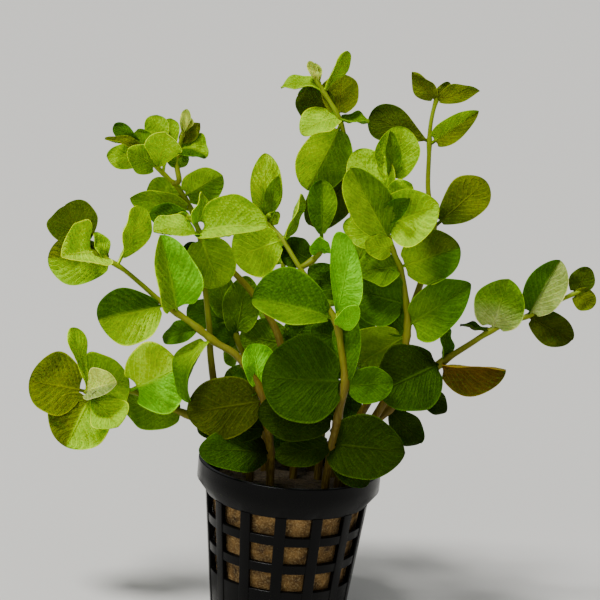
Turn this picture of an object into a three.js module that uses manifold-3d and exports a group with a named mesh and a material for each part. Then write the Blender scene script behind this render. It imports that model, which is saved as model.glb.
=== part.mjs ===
// A creeping jenny, Lysimachia nummularia, in a round net pot.
// Millimetres, +Z up. The origin is the middle of the underside of the pot, and -Y faces the viewer.

import * as THREE from "three";
import { mergeVertices } from "three/addons/utils/BufferGeometryUtils.js";
import Module from "manifold-3d";

const wasm = await Module();
wasm.setup();

// Driving dimensions of the pot
const potHeight = 44;
const rimRadius = 25;
const wall = 1.3;
const collarHeight = 5.5;
const shoulderDrop = 3.6;
const wallTopRadius = 22.3;
const wallFootRadius = 18.3;
const ribs = 14;
const ribWidth = 3;
const firstRibTurn = -2.8;
const windowRows = 3;
const windowHeight = 5.3;
const ringHeight = 2.7;
const floorThickness = 1.4;
const floorDiscRadius = 7;
const slotWidth = 2.6;

// Driving dimensions of the plant
const woolTop = 38.5;
const stemFoot = 33;
const touchGap = 0.3;
const bladeHalfThickness = 0.32;
const stalkRadius = 0.45;
const outlineFullness = 0.6;
const stalkShare = 0.13;
const tipHalfWidth = 0.5;

const colours = {
  pot: 0x0d0d0e,
  wool: 0x8a6a38,
  stem: 0x8ea32c,
  young: 0xb9d62c,
  middle: 0x84a81c,
  old: 0x4c6a12,
};

const radians = THREE.MathUtils.degToRad;

// How the plant is seen: a square picture of 600 pixels, taken a little from above and leaning to one side.
// A place on the plant is a column, a row and a depth: millimetres behind the middle of the pot.
const middlePixel = 300;
const focalPixels = 2013;
const viewDistance = 550;
const viewPitch = radians(12.4);
const viewRoll = radians(5);
const rimPixel = [290, 461];

const level = new THREE.Vector3(1, 0, 0);
const rise = new THREE.Vector3(0, Math.sin(viewPitch), Math.cos(viewPitch));
const forward = new THREE.Vector3(0, Math.cos(viewPitch), -Math.sin(viewPitch));
const right = level.clone().multiplyScalar(Math.cos(viewRoll)).addScaledVector(rise, Math.sin(viewRoll));
const up = rise.clone().multiplyScalar(Math.cos(viewRoll)).addScaledVector(level, -Math.sin(viewRoll));
const pixelSize = viewDistance / focalPixels;
const eye = new THREE.Vector3(0, 0, potHeight)
  .addScaledVector(forward, -viewDistance)
  .addScaledVector(right, (middlePixel - rimPixel[0]) * pixelSize)
  .addScaledVector(up, (rimPixel[1] - middlePixel) * pixelSize);

function place(column, row, depth) {
  const ray = forward
    .clone()
    .addScaledVector(right, (column - middlePixel) / focalPixels)
    .addScaledVector(up, (middlePixel - row) / focalPixels);
  return eye.clone().addScaledVector(ray, (depth - eye.y) / ray.y);
}

function seen(point) {
  const view = point.clone().sub(eye);
  const away = view.dot(forward);
  const column = middlePixel + (focalPixels * view.dot(right)) / away;
  const row = middlePixel - (focalPixels * view.dot(up)) / away;
  return new THREE.Vector2(column, row);
}

// Leaves. Each has a name, the pixel where its stalk meets the stem and the pixel of its tip.
// lean: degrees that the tip leans towards the viewer. width: millimetres across the flattened blade.
// turn: degrees that the face is turned to its right, seen along the leaf. bow: degrees that the midrib bends,
// middle forwards. fold and cup: degrees that each half rises, in a crease and in a curve.
// widest: where along the blade it is widest.
const flat = { lean: 0, width: 10, turn: 0, bow: 12, fold: 8, cup: 12, widest: 0.48, age: "middle" };

function leaf(name, base, tip, shape) {
  return { ...flat, ...shape, name, base, tip, own: true };
}

function youngLeaf(name, base, tip, shape) {
  return { ...flat, age: "young", ...shape, name, base, tip, own: false };
}

// Shoots, from the growing tip down: the route's knots are column, row and depth, and the foot is where the
// stem enters the rock wool, in millimetres across and behind the middle of the pot.
const shoots = [
  {
    name: "lower_left",
    route: [
        [84, 391, -6], [100, 396, -6], [118, 395, -6], [131, 391, -6], [156, 402, -4], [190, 416, -4],
        [225, 436, -7],
    ],
    foot: [-11, -7],
    leaves: [
      leaf("west", [82, 392], [29, 381], { lean: 5, width: 18.5, turn: 10, cup: 20 }),
      leaf("south", [90, 397], [66, 447], { lean: 22, width: 17.5, bow: 20, cup: -10, age: "young" }),
      leaf("east", [129, 385], [181, 366], { lean: 16, width: 20.3, bow: 40, cup: -25, age: "young" }),
      leaf("under", [188, 411], [123, 403], { lean: -30, width: 12, turn: -10, cup: -5 }),
      youngLeaf("lit", [86, 397], [118, 427], { lean: 35, width: 12.5, turn: -15, fold: 15, widest: 0.76 }),
      youngLeaf("pale", [87, 391], [117, 383], { lean: 42, width: 10.5, turn: -28, fold: 26 }),
      youngLeaf("behind", [89, 391], [129, 379], {
        lean: -4, width: 20, turn: -10, fold: 14, widest: 0.35,
      }),
      youngLeaf("paddle", [88, 391], [71, 328], { lean: 12, width: 6.5, turn: 40, widest: 0.76 }),
      youngLeaf("below", [132, 392], [98, 402], { lean: -35, width: 7, age: "middle" }),
    ],
  },
  {
    name: "left",
    route: [
        [84, 247, -14], [98, 255, -13], [120, 267, -12], [141, 284, -11], [165, 305, -11], [190, 322, -12],
        [215, 342, -13], [238, 357, -14], [262, 393, -15], [268, 425, -13],
    ],
    foot: [-5, -10],
    leaves: [
      leaf("back", [86, 249], [65, 206], { lean: -40, width: 14.2, cup: 18 }),
      leaf("cup", [113, 268], [48, 258], { lean: -8, width: 14.6, cup: 10, widest: 0.52, age: "young" }),
      leaf("folded", [94, 252], [62, 256], {
        lean: 54, width: 18, turn: 30, fold: 30, widest: 0.32, age: "young",
      }),
      leaf("edge", [117, 264], [139, 206], {
        lean: -6, width: 13, turn: 60, bow: 20, widest: 0.56, age: "young",
      }),
      leaf("hanging", [163, 306], [98, 320], {
        lean: 12, width: 17.5, turn: -15, fold: 15, widest: 0.58, age: "young",
      }),
      leaf("tall", [176, 313], [160, 235], {
        lean: 8, width: 16, turn: 26, fold: 34, widest: 0.36, age: "young",
      }),
      leaf("arched", [212, 340], [190, 402], { lean: 10, width: 13.5, turn: 66, bow: 95 }),
      leaf("olive", [262, 402], [187, 413], { lean: 12, width: 16.5, bow: 15, cup: -15 }),
      leaf("low_arch", [268, 428], [197, 428], { lean: -3, width: 11, turn: 25, bow: 30, age: "old" }),
      leaf("rim", [269, 455], [199, 451], { lean: 34, width: 12, turn: 15, bow: 40, cup: -15, age: "old" }),
      youngLeaf("bud", [88, 249], [74, 231], { lean: 14, width: 3.4 }),
      youngLeaf("right", [106, 259], [95, 232], { lean: 2, width: 5.2, turn: 40 }),
      youngLeaf("low", [198, 329], [163, 339], { lean: -25, width: 7.5, turn: 35, age: "middle" }),
      youngLeaf("inner", [262, 386], [252, 344], { lean: -12, width: 11.5, turn: 25, fold: 20 }),
      youngLeaf("inner_left", [264, 392], [236, 372], { lean: -20, width: 9, age: "middle" }),
    ],
  },
  {
    name: "upper_left",
    route: [
        [148, 152, 4], [156, 166, 4], [176, 186, 5], [190, 207, 6], [200, 232, 7], [222, 260, 8],
        [250, 290, 9], [272, 322, 8], [282, 350, 6], [289, 400, 4],
    ],
    foot: [1, 3],
    leaves: [
      leaf("front", [157, 165], [128, 150], { lean: 40, width: 8.6, age: "young" }),
      leaf("tip_left", [189, 211], [130, 195], { lean: 8, width: 10, turn: -25, fold: 18, age: "young" }),
      leaf("tip_right", [183, 198], [224, 172], { lean: 8, width: 11.6, turn: 10, fold: 18, age: "young" }),
      youngLeaf("round", [150, 156], [107, 157], { lean: -8, width: 7.5 }),
      youngLeaf("spike", [148, 152], [105, 138], {
        lean: 15, width: 4.2, turn: 50, fold: 25, age: "middle",
      }),
      youngLeaf("stub", [148, 152], [114, 125], { lean: -12, width: 4.6, widest: 0.7, age: "middle" }),
      youngLeaf("fan", [158, 167], [166, 133], { lean: 42, width: 10.5, widest: 0.72 }),
      youngLeaf("lobe", [150, 154], [137, 130], { lean: -16, width: 6.5, age: "middle" }),
      youngLeaf("top", [158, 164], [157, 115], { lean: -26, width: 7, widest: 0.7 }),
      youngLeaf("crest", [162, 172], [172, 119], { lean: -34, width: 5.5, widest: 0.7 }),
      youngLeaf("hidden", [184, 199], [148, 187], { lean: -24, width: 8.6 }),
    ],
  },
  {
    name: "upper_left_side",
    route: [[184, 128, 2], [180, 145, 2.5], [177, 165, 3], [179, 180.5, 2.8]],
    leaves: [
      leaf("arched", [180, 150], [206, 158], { lean: 10, width: 11.6, turn: -55, bow: 85, age: "young" }),
      youngLeaf("bud_left", [183, 136], [187, 109], { lean: 6, width: 3.6, fold: 30, widest: 0.7 }),
      youngLeaf("bud_right", [183, 136], [190, 117], { lean: -8, width: 2.8, turn: 30, widest: 0.7 }),
      youngLeaf("behind", [178, 150], [176, 168], { lean: 0, width: 6.5, age: "middle" }),
      youngLeaf("point", [181, 142], [200, 123], { lean: -20, width: 4.5, age: "middle" }),
    ],
  },
  {
    name: "middle_left",
    route: [
        [187, 215, -2], [198, 229, -3], [202, 260, -3], [205, 290, -4], [209, 325, -5], [211, 360, -6],
        [218, 400, -6], [236, 436, -5],
    ],
    foot: [-12, 2],
    leaves: [
      leaf("left", [200, 236], [154, 232], { lean: 36, width: 11, turn: 60, bow: 48, age: "young" }),
      leaf("right", [200, 233], [268, 226], {
        lean: 32, width: 17.6, turn: -33, bow: 25, fold: 33, age: "young",
      }),
      youngLeaf("bud", [191, 221], [177, 214], { width: 2.8, cup: 30 }),
      youngLeaf("upright", [195, 226], [202, 192], { lean: 12, width: 6.5, turn: 48, widest: 0.36 }),
      youngLeaf("small", [191, 220], [150, 213], { lean: -15, width: 7, age: "middle" }),
      youngLeaf("hanging", [201, 236], [220, 287], { lean: 3, width: 14.5 }),
      youngLeaf("low", [202, 272], [187, 243], { lean: -10, width: 7, age: "old" }),
    ],
  },
  {
    name: "centre",
    route: [
        [265, 219, -5], [271, 226, -6], [283, 240, -8], [300, 268, -11], [320, 295, -13], [336, 322, -15],
        [341, 347, -16], [345, 382, -17], [339, 412, -16],
    ],
    foot: [10, -12],
    leaves: [
      leaf("oval", [265, 219], [265, 153], { lean: 8, width: 10.2, turn: 8, fold: 18, age: "young" }),
      leaf("left", [283, 241], [233, 257], { lean: 10, width: 15.5, widest: 0.54, age: "young" }),
      leaf("shelf", [332, 320], [252, 299], {
        lean: 6, width: 20, turn: 31, bow: 20, fold: 31, widest: 0.58,
      }),
      leaf("bright", [338, 322], [352, 241], {
        lean: 4, width: 11.5, bow: 15, cup: 20, widest: 0.66, age: "young",
      }),
      leaf("great", [343, 380], [262, 377], { lean: 6, width: 23.5, bow: 20, cup: -12, age: "old" }),
      leaf("puckered", [344, 384], [352, 312], { lean: -8, width: 9.5, turn: -30 }),
      leaf("dark", [338, 418], [258, 412], { lean: 4, width: 14, cup: -12, age: "old" }),
      leaf("over_rim", [330, 442], [405, 452], { lean: 34, width: 17.5, bow: 30, cup: 4, age: "old" }),
      youngLeaf("inner", [268, 222], [279, 176], {
        lean: 18, width: 5, turn: -20, fold: 20, age: "middle",
      }),
      youngLeaf("lit", [268, 223], [279, 213], { lean: 30, width: 4 }),
      youngLeaf("edge", [284, 241], [302, 194], { lean: -5, width: 8, turn: 74 }),
      youngLeaf("chip", [338, 327], [357, 306], { lean: 38, width: 6, turn: 20 }),
      youngLeaf("cluster", [338, 330], [357, 274], { lean: -12, width: 6, turn: 20 }),
      youngLeaf("right", [345, 385], [393, 382], { lean: 4, width: 10.5, turn: 15, age: "middle" }),
      youngLeaf("drop", [332, 446], [367, 486], { lean: 22, width: 9.5, age: "old" }),
      youngLeaf("rim_left", [331, 446], [275, 457], { lean: 14, width: 9, age: "old" }),
    ],
  },
  {
    name: "centre_side",
    route: [[321, 232, -7], [322, 248, -8], [314, 259, -9], [305.5, 265, -10]],
    leaves: [
      leaf("upright", [321, 238], [322, 180], { lean: -6, width: 8.5, fold: 15, widest: 0.6 }),
      youngLeaf("curl", [322, 255], [321, 237], { lean: 45, width: 6.5, cup: 35 }),
      youngLeaf("behind", [312, 261], [283, 246], { lean: -28, width: 9, age: "old" }),
    ],
  },
  {
    name: "top_centre",
    route: [
        [314, 76, 0], [319, 85, 0], [327, 97, 0], [338, 116, 0], [345, 138, 1], [350, 165, 2],
        [353, 190, 3], [352, 230, 4], [348, 280, 5], [338, 340, 5], [325, 400, 4],
    ],
    foot: [8, 4],
    leaves: [
      leaf("behind_right", [337, 115], [342, 74], { lean: -22, width: 10.6 }),
      leaf("behind_left", [335, 111], [298, 96], { lean: -25, width: 11 }),
      leaf("great", [341, 123], [307, 190], { lean: -2, width: 15, turn: -10, bow: 25 }),
      youngLeaf("bud_left", [319, 86], [309, 61], { width: 3, fold: 25, widest: 0.7 }),
      youngLeaf("bud_right", [319, 86], [315, 63], { lean: -10, width: 2.6, turn: 25, widest: 0.7 }),
      youngLeaf("left", [323, 91], [281, 88], { lean: 4, width: 8, turn: 65, bow: 60 }),
      youngLeaf("right", [322, 92], [348, 51], { lean: 5, width: 5.4, turn: 45, widest: 0.68 }),
      youngLeaf("front", [339, 118], [301, 134], { lean: 28, width: 9.5, turn: 38, bow: 60 }),
      youngLeaf("edge", [340, 120], [369, 123], { lean: 5, width: 9, turn: -74, bow: 25, age: "middle" }),
      youngLeaf("lower", [352, 178], [310, 225], { lean: -16, width: 12, age: "middle" }),
    ],
  },
  {
    name: "top_right",
    route: [
        [437, 98, 6], [433, 112, 6], [430, 130, 6], [429, 155, 6], [428, 187, 5], [431, 210, 3],
        [434, 224, 3], [427, 262, 5], [413, 305, 7], [396, 345, 7], [372, 395, 6],
    ],
    foot: [13, 8],
    leaves: [
      leaf("left", [427, 142], [370, 115], { lean: -10, width: 10.8, widest: 0.68 }),
      leaf("pointed", [429, 144], [480, 110], {
        lean: 10, width: 7.3, fold: 18, widest: 0.42, age: "young",
      }),
      leaf("oval", [433, 227], [486, 181], { lean: -6, width: 11.8, widest: 0.6 }),
      youngLeaf("tip_left", [437, 99], [412, 72], { lean: 5, width: 6.4, turn: -30, age: "middle" }),
      youngLeaf("tip_right", [437, 99], [480, 91], {
        lean: 10, width: 6, turn: -20, fold: 20, age: "middle",
      }),
      youngLeaf("bud", [437, 100], [450, 83], { lean: -15, width: 3.8, age: "middle" }),
    ],
  },
  {
    name: "centre_right",
    route: [
        [392, 177, -6], [389, 198, -7], [386, 225, -7], [393, 250, -7], [401, 270, -6], [406, 300, -6],
        [407, 335, -6], [398, 375, -7], [378, 412, -7],
    ],
    foot: [14, -5],
    leaves: [
      leaf("front", [388, 240], [350, 168], { lean: 28, width: 12, cup: -20, age: "young" }),
      leaf("curled", [387, 224], [439, 205], { lean: 24, width: 18, bow: 20, fold: 20, age: "young" }),
      leaf("dark", [397, 268], [460, 247], { lean: 5, width: 15 }),
      leaf("low", [405, 324], [471, 284], { lean: 8, width: 15, turn: 12, fold: 15, widest: 0.42 }),
      leaf("mass", [406, 336], [357, 364], { lean: -16, width: 19, turn: -20, age: "young" }),
      youngLeaf("back", [391, 182], [403, 127], { lean: -12, width: 13, cup: 25 }),
      youngLeaf("inner", [391, 180], [390, 131], {
        lean: 14, width: 5.5, turn: 20, fold: 30, age: "middle",
      }),
      youngLeaf("lobe", [389, 200], [355, 151], { lean: -10, width: 12.5 }),
      youngLeaf("lobe_right", [389, 200], [412, 184], { lean: 10, width: 7.5 }),
      youngLeaf("curl", [387, 217], [409, 198], { lean: 50, width: 6.2, cup: 40, age: "middle" }),
      youngLeaf("wavy", [397, 268], [358, 271], { lean: 15, width: 11, turn: 20, age: "middle" }),
      youngLeaf("drop", [391, 241], [344, 223], { lean: -16, width: 9 }),
      youngLeaf("chip", [389, 250], [365, 243], { lean: 22, width: 7 }),
      youngLeaf("upper_mass", [404, 306], [355, 290], { lean: 2, width: 16.5, age: "middle" }),
      youngLeaf("inner_low", [407, 334], [385, 305], { lean: -20, width: 9, age: "middle" }),
    ],
  },
  {
    name: "right",
    route: [
        [582, 290, 2], [550, 305, 1], [528, 316, 0], [496, 328, -2], [470, 344, -3], [441, 363, -4],
        [412, 388, -4], [386, 412, -4], [364, 434, -4],
    ],
    foot: [15, -1],
    leaves: [
      leaf("round", [491, 331], [508, 279], { lean: 14, width: 14.8 }),
      leaf("far", [528, 316], [560, 260], { lean: 5, width: 12.5, turn: 10, fold: 20 }),
      leaf("boat", [438, 366], [506, 370], { lean: 8, width: 15, turn: 42, fold: 38, age: "old" }),
      leaf("broad", [442, 363], [378, 393], { lean: 34, width: 19, cup: -12, age: "old" }),
      youngLeaf("far_low", [527, 317], [572, 340], { lean: -8, width: 9.5, age: "middle" }),
      youngLeaf("sliver", [490, 332], [460, 325], { lean: -8, width: 5, turn: 76, age: "old" }),
      youngLeaf("upright", [446, 360], [443, 326], { lean: -5, width: 7, turn: 62, age: "middle" }),
      youngLeaf("small", [416, 384], [446, 412], { lean: -22, width: 6.6, age: "old" }),
      youngLeaf("shade", [388, 411], [420, 443], { lean: -25, width: 8.6, age: "old" }),
      youngLeaf("end_up", [575, 293], [590, 268], { lean: -5, width: 7, age: "middle" }),
      youngLeaf("end_down", [575, 293], [595, 305], { lean: 10, width: 6.5, age: "middle" }),
    ],
  },
  {
    name: "back_left",
    route: [[214, 262, 14], [222, 290, 14], [232, 325, 13], [250, 370, 11], [262, 415, 9]],
    foot: [-7, 8],
    leaves: [
      youngLeaf("left", [229, 318], [187, 309], { lean: -15, width: 9, age: "middle" }),
      youngLeaf("upright", [229, 320], [213, 267], { lean: 10, width: 9, age: "middle" }),
      youngLeaf("wide", [236, 335], [247, 276], { lean: 4, width: 11, age: "middle" }),
      youngLeaf("rear", [218, 280], [204, 262], { lean: -65, width: 14, age: "middle" }),
      youngLeaf("rear_low", [240, 345], [224, 352], { lean: -56, width: 10, age: "middle" }),
      youngLeaf("low", [256, 392], [226, 372], { lean: 6, width: 12, age: "middle" }),
      youngLeaf("mid", [238, 343], [212, 329], { lean: 4, width: 8, age: "middle" }),
      youngLeaf("low_right", [252, 376], [283, 360], { lean: 8, width: 12, age: "middle" }),
    ],
  },
  {
    name: "back_right",
    route: [[352, 268, 17], [346, 300, 17], [338, 340, 15], [330, 385, 12], [318, 425, 10]],
    foot: [6, 12],
    leaves: [
      youngLeaf("top", [351, 274], [366, 242], { lean: -50, width: 12, age: "middle" }),
      youngLeaf("rear_left", [346, 300], [330, 288], { lean: -70, width: 14, age: "middle" }),
      youngLeaf("rear_right", [345, 302], [368, 300], { lean: -66, width: 14, age: "middle" }),
      youngLeaf("low_left", [336, 350], [318, 362], { lean: -70, width: 16, age: "middle" }),
      youngLeaf("low_right", [334, 360], [368, 368], { lean: -58, width: 16, age: "middle" }),
      youngLeaf("middle", [342, 322], [376, 306], { lean: 10, width: 13, age: "middle" }),
      youngLeaf("mid_left", [338, 342], [311, 328], { lean: 22, width: 11, age: "middle" }),
      youngLeaf("peek", [347, 296], [309, 267], { lean: 12, width: 9.5, age: "middle" }),
      youngLeaf("low", [330, 388], [358, 412], { lean: 8, width: 13, age: "old" }),
    ],
  },
  {
    name: "back_centre",
    route: [[283, 262, 15], [284, 290, 16], [290, 330, 16], [292, 370, 14], [290, 420, 11]],
    foot: [-1, 13],
    leaves: [
      youngLeaf("left", [291, 345], [240, 335], { lean: 15, width: 12.5, age: "middle" }),
      youngLeaf("right", [291, 345], [311, 318], { lean: 10, width: 10, age: "middle" }),
      youngLeaf("top", [283, 265], [275, 238], { lean: -55, width: 11, age: "middle" }),
      youngLeaf("rear_left", [285, 300], [262, 296], { lean: -68, width: 14, age: "middle" }),
      youngLeaf("rear_right", [286, 304], [304, 296], { lean: -70, width: 14, age: "middle" }),
      youngLeaf("rear_low", [292, 372], [276, 384], { lean: -74, width: 16, age: "middle" }),
      youngLeaf("low", [292, 385], [322, 398], { lean: 6, width: 14, age: "old" }),
      youngLeaf("low_left", [291, 392], [262, 404], { lean: 6, width: 12, age: "old" }),
      youngLeaf("foot_left", [291, 418], [283, 462], { lean: 14, width: 11, age: "old" }),
      youngLeaf("foot_right", [290, 424], [306, 462], { lean: 10, width: 10, age: "old" }),
    ],
  },
];

const stemRadii = { main: 1.0, side: 0.8 };
const stemSides = 5;
const stemStep = 11;

function solidFrom(geometry) {
  geometry.deleteAttribute("normal");
  geometry.deleteAttribute("uv");
  const merged = mergeVertices(geometry, 1e-4);
  const vertProperties = new Float32Array(merged.attributes.position.array);
  const triVerts = new Uint32Array(merged.index.array);
  return new wasm.Manifold(new wasm.Mesh({ numProp: 3, vertProperties, triVerts }));
}

function geometryFrom(solid) {
  const { vertProperties, triVerts } = solid.getMesh();
  const geometry = new THREE.BufferGeometry();
  geometry.setAttribute("position", new THREE.BufferAttribute(vertProperties, 3));
  geometry.setIndex(new THREE.BufferAttribute(triVerts, 1));
  geometry.computeVertexNormals();
  return geometry;
}

function namedMesh(name, solid, colour, roughness) {
  const material = new THREE.MeshStandardMaterial({ color: colour, roughness, metalness: 0 });
  const mesh = new THREE.Mesh(geometryFrom(solid), material);
  mesh.name = name;
  return mesh;
}

function stemCurve(shoot) {
  const knots = shoot.route.map((knot) => place(...knot));
  if (shoot.foot) {
    knots.push(new THREE.Vector3(...shoot.foot, potHeight));
    knots.push(new THREE.Vector3(...shoot.foot, stemFoot));
  }
  return new THREE.CatmullRomCurve3(knots, false, "catmullrom", 0.5);
}

function stemSteps(curve) {
  return Math.max(4, Math.round(curve.getLength() / stemStep));
}

// A stem is a tube of a few sides along its curve.
function stemSolid(curve, radius) {
  const section = new THREE.Shape();
  section.moveTo(radius, 0);
  for (let side = 1; side < stemSides; side++) {
    const angle = (side * 2 * Math.PI) / stemSides;
    section.lineTo(radius * Math.cos(angle), radius * Math.sin(angle));
  }
  const tube = { steps: stemSteps(curve), extrudePath: curve, bevelEnabled: false };
  return solidFrom(new THREE.ExtrudeGeometry(section, tube));
}

// The place on the straight pieces of a stem that is seen nearest to a pixel.
function joint(curve, pixel) {
  const target = new THREE.Vector2(...pixel);
  const corners = curve.getSpacedPoints(stemSteps(curve));
  const samples = 20;
  let best = { miss: Infinity };
  for (let piece = 1; piece < corners.length; piece++) {
    const [from, to] = [corners[piece - 1], corners[piece]];
    for (let i = 0; i < samples; i++) {
      const point = from.clone().lerp(to, i / samples);
      const miss = seen(point).distanceTo(target);
      const tangent = to.clone().sub(from).normalize();
      if (miss < best.miss) best = { miss, point, tangent, atTip: piece === 1 && i === 0 };
    }
  }
  return best;
}

// Where a leaf starts, how long it is, and its own directions: along the midrib, out of the face, to its right.
function leafFrame(shape, curve, stemRadius) {
  const root = joint(curve, shape.base);
  const level = place(...shape.tip, root.point.y);
  const reach = level.distanceTo(root.point);
  const tip = place(...shape.tip, root.point.y - reach * Math.tan(radians(shape.lean)));
  const start = root.point.clone();
  if (shape.own) {
    const out = tip.clone().sub(start);
    if (root.atTip) out.copy(root.tangent).negate();
    else out.addScaledVector(root.tangent, -out.dot(root.tangent));
    out.normalize();
    start.addScaledVector(out, stemRadius + touchGap + stalkRadius);
  }
  const along = tip.clone().sub(start);
  const length = along.length();
  along.normalize();
  const face = eye.clone().sub(start).normalize();
  face.addScaledVector(along, -face.dot(along)).normalize();
  const side = along.clone().cross(face);
  const turn = radians(shape.turn);
  const turned = face.clone().multiplyScalar(Math.cos(turn)).addScaledVector(side, Math.sin(turn));
  return { start, length, along, face: turned, side: along.clone().cross(turned) };
}

function halfWidth(shape, share) {
  if (share <= stalkShare) return stalkRadius;
  const t = (share - stalkShare) / (1 - stalkShare);
  const skew = Math.log(0.5) / Math.log(shape.widest);
  const outline = Math.sin(Math.PI * Math.min(t ** skew, 1)) ** outlineFullness;
  return Math.max((shape.width / 2) * outline, t < 0.5 ? stalkRadius : tipHalfWidth);
}

// A point of the leaf: share runs from stalk to tip, across from left edge to right edge, skin from back to face.
function leafPoint(shape, frame, share, across, skin) {
  const bow = radians(shape.bow) || 1e-3;
  const bend = bow * (share - 0.5);
  const bendRadius = frame.length / (2 * Math.sin(bow / 2));
  const forwards = frame.length / 2 + bendRadius * Math.sin(bend);
  const lift = bendRadius * (Math.cos(bend) - Math.cos(bow / 2));
  const normal = frame.face.clone().multiplyScalar(Math.cos(bend)).addScaledVector(frame.along, Math.sin(bend));
  const half = halfWidth(shape, share);
  const fold = radians(shape.fold);
  const cup = radians(shape.cup) || 1e-3;
  const reach = Math.abs(across);
  const sideways = (half * (Math.sin(fold + cup * reach) - Math.sin(fold))) / cup;
  const raised = (half * (Math.cos(fold) - Math.cos(fold + cup * reach))) / cup;
  const thickness = share < stalkShare ? stalkRadius : bladeHalfThickness;
  return frame.start
    .clone()
    .addScaledVector(frame.along, forwards)
    .addScaledVector(frame.face, lift)
    .addScaledVector(frame.side, Math.sign(across) * sideways)
    .addScaledVector(normal, raised + skin * thickness);
}

// A leaf is a closed cylinder whose rings are flattened and laid along the curved blade.
function leafSolid(shape, frame) {
  const blade = [0.1, 0.4, 0.78, 1].map((t) => stalkShare + t * (1 - stalkShare));
  const rings = shape.own ? [0, 0.9 * stalkShare, ...blade] : [0, 0.36, 0.78, 1];
  const around = shape.own ? 6 : 4;
  const geometry = new THREE.CylinderGeometry(1, 1, rings.length - 1, around, rings.length - 1);
  const position = geometry.attributes.position;
  const middle = (rings.length - 1) / 2;
  for (let i = 0; i < position.count; i++) {
    const ring = Math.round(position.getY(i) + middle);
    const point = leafPoint(shape, frame, rings[ring], position.getX(i), position.getZ(i));
    position.setXYZ(i, point.x, point.y, point.z);
  }
  return solidFrom(geometry);
}

// The pot: a turned wall with a collar, cut by windows, with upright ribs outside and slots in its floor.
function wallRadius(height) {
  const wallTop = potHeight - collarHeight - shoulderDrop;
  return wallFootRadius + ((wallTopRadius - wallFootRadius) * height) / wallTop;
}

function turnedSolid(profile, segments) {
  const points = profile.map(([radius, height]) => new THREE.Vector2(radius, height));
  const geometry = new THREE.LatheGeometry(points, segments);
  geometry.rotateX(Math.PI / 2);
  return solidFrom(geometry);
}

function blockSolid(width, depth, height, turn, radius, foot) {
  const geometry = new THREE.BoxGeometry(width, depth, height);
  geometry.translate(0, -radius, foot + height / 2);
  geometry.rotateZ(turn);
  return solidFrom(geometry);
}

function potSolid() {
  const wallTop = potHeight - collarHeight - shoulderDrop;
  const collarFoot = potHeight - collarHeight;
  const segments = ribs * 2;
  let pot = turnedSolid(
    [
      [0, 0],
      [wallFootRadius, 0],
      [wallTopRadius, wallTop],
      [rimRadius, collarFoot],
      [rimRadius, potHeight],
      [rimRadius - wall, potHeight],
      [rimRadius - wall, collarFoot + 0.4],
      [wallTopRadius - wall, wallTop + 0.4],
      [wallRadius(floorThickness) - wall, floorThickness],
      [0, floorThickness],
    ],
    segments,
  );
  const pitch = 360 / ribs;
  for (let rib = 0; rib < ribs; rib++) {
    const windowTurn = radians(firstRibTurn + (rib + 0.5) * pitch);
    for (let row = 0; row < windowRows; row++) {
      const top = wallTop - 0.3 - row * (windowHeight + ringHeight);
      const foot = top - windowHeight;
      const windowWidth = 2 * wallRadius(foot) * Math.sin(radians(pitch / 2)) - ribWidth;
      pot = pot.subtract(blockSolid(windowWidth, 8, windowHeight, windowTurn, wallRadius(foot), foot));
    }
    if (rib % 2 === 0) {
      const slotLength = wallFootRadius - wall - 2.5 - floorDiscRadius;
      const slotRadius = floorDiscRadius + slotLength / 2;
      pot = pot.subtract(blockSolid(slotWidth, slotLength, 8, windowTurn, slotRadius, -3));
    }
  }
  return pot;
}

// The rock wool fills the pot up to a little below the rim. Its top has a pocket for each stem.
function woolSolid(pockets) {
  const clear = wall + 0.5;
  let wool = turnedSolid(
    [
      [0, floorThickness + touchGap],
      [wallRadius(2) - clear, floorThickness + touchGap],
      [wallRadius(34) - clear, 34],
      [wallRadius(34) - clear, woolTop - 1],
      [wallRadius(34) - clear - 1.5, woolTop],
      [0, woolTop],
    ],
    ribs,
  );
  for (const pocket of pockets) wool = wool.subtract(pocket);
  return wool;
}

const plant = new THREE.Group();
const pockets = [];

for (const shoot of shoots) {
  const curve = stemCurve(shoot);
  const radius = shoot.foot ? stemRadii.main : stemRadii.side;
  let stem = stemSolid(curve, radius);
  if (shoot.foot) pockets.push(stemSolid(curve, radius + touchGap));
  for (const shape of shoot.leaves) {
    const solid = leafSolid(shape, leafFrame(shape, curve, radius));
    if (shape.own) {
      const name = `leaf_${shoot.name}_${shape.name}`;
      plant.add(namedMesh(name, solid, colours[shape.age], 0.4));
    } else {
      stem = stem.add(solid);
    }
  }
  plant.add(namedMesh(`stem_${shoot.name}`, stem, colours.stem, 0.5));
}

plant.add(namedMesh("net_pot", potSolid(), colours.pot, 0.35));
plant.add(namedMesh("rock_wool", woolSolid(pockets), colours.wool, 0.95));

export default plant;
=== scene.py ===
# %% [markdown]
# # A creeping jenny in a net pot
# This lesson dresses a measured plant: a black net pot, its rock wool, and fourteen leafy shoots of
# Lysimachia nummularia. The solids in the frame say where each stem and leaf is. Here every one of them is
# made again with veins, puckers and curled edges, on the same spot.
#
# ## The frame
# The frame is loaded first. The top of the pot's box gives the pot's height.

import math

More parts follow.
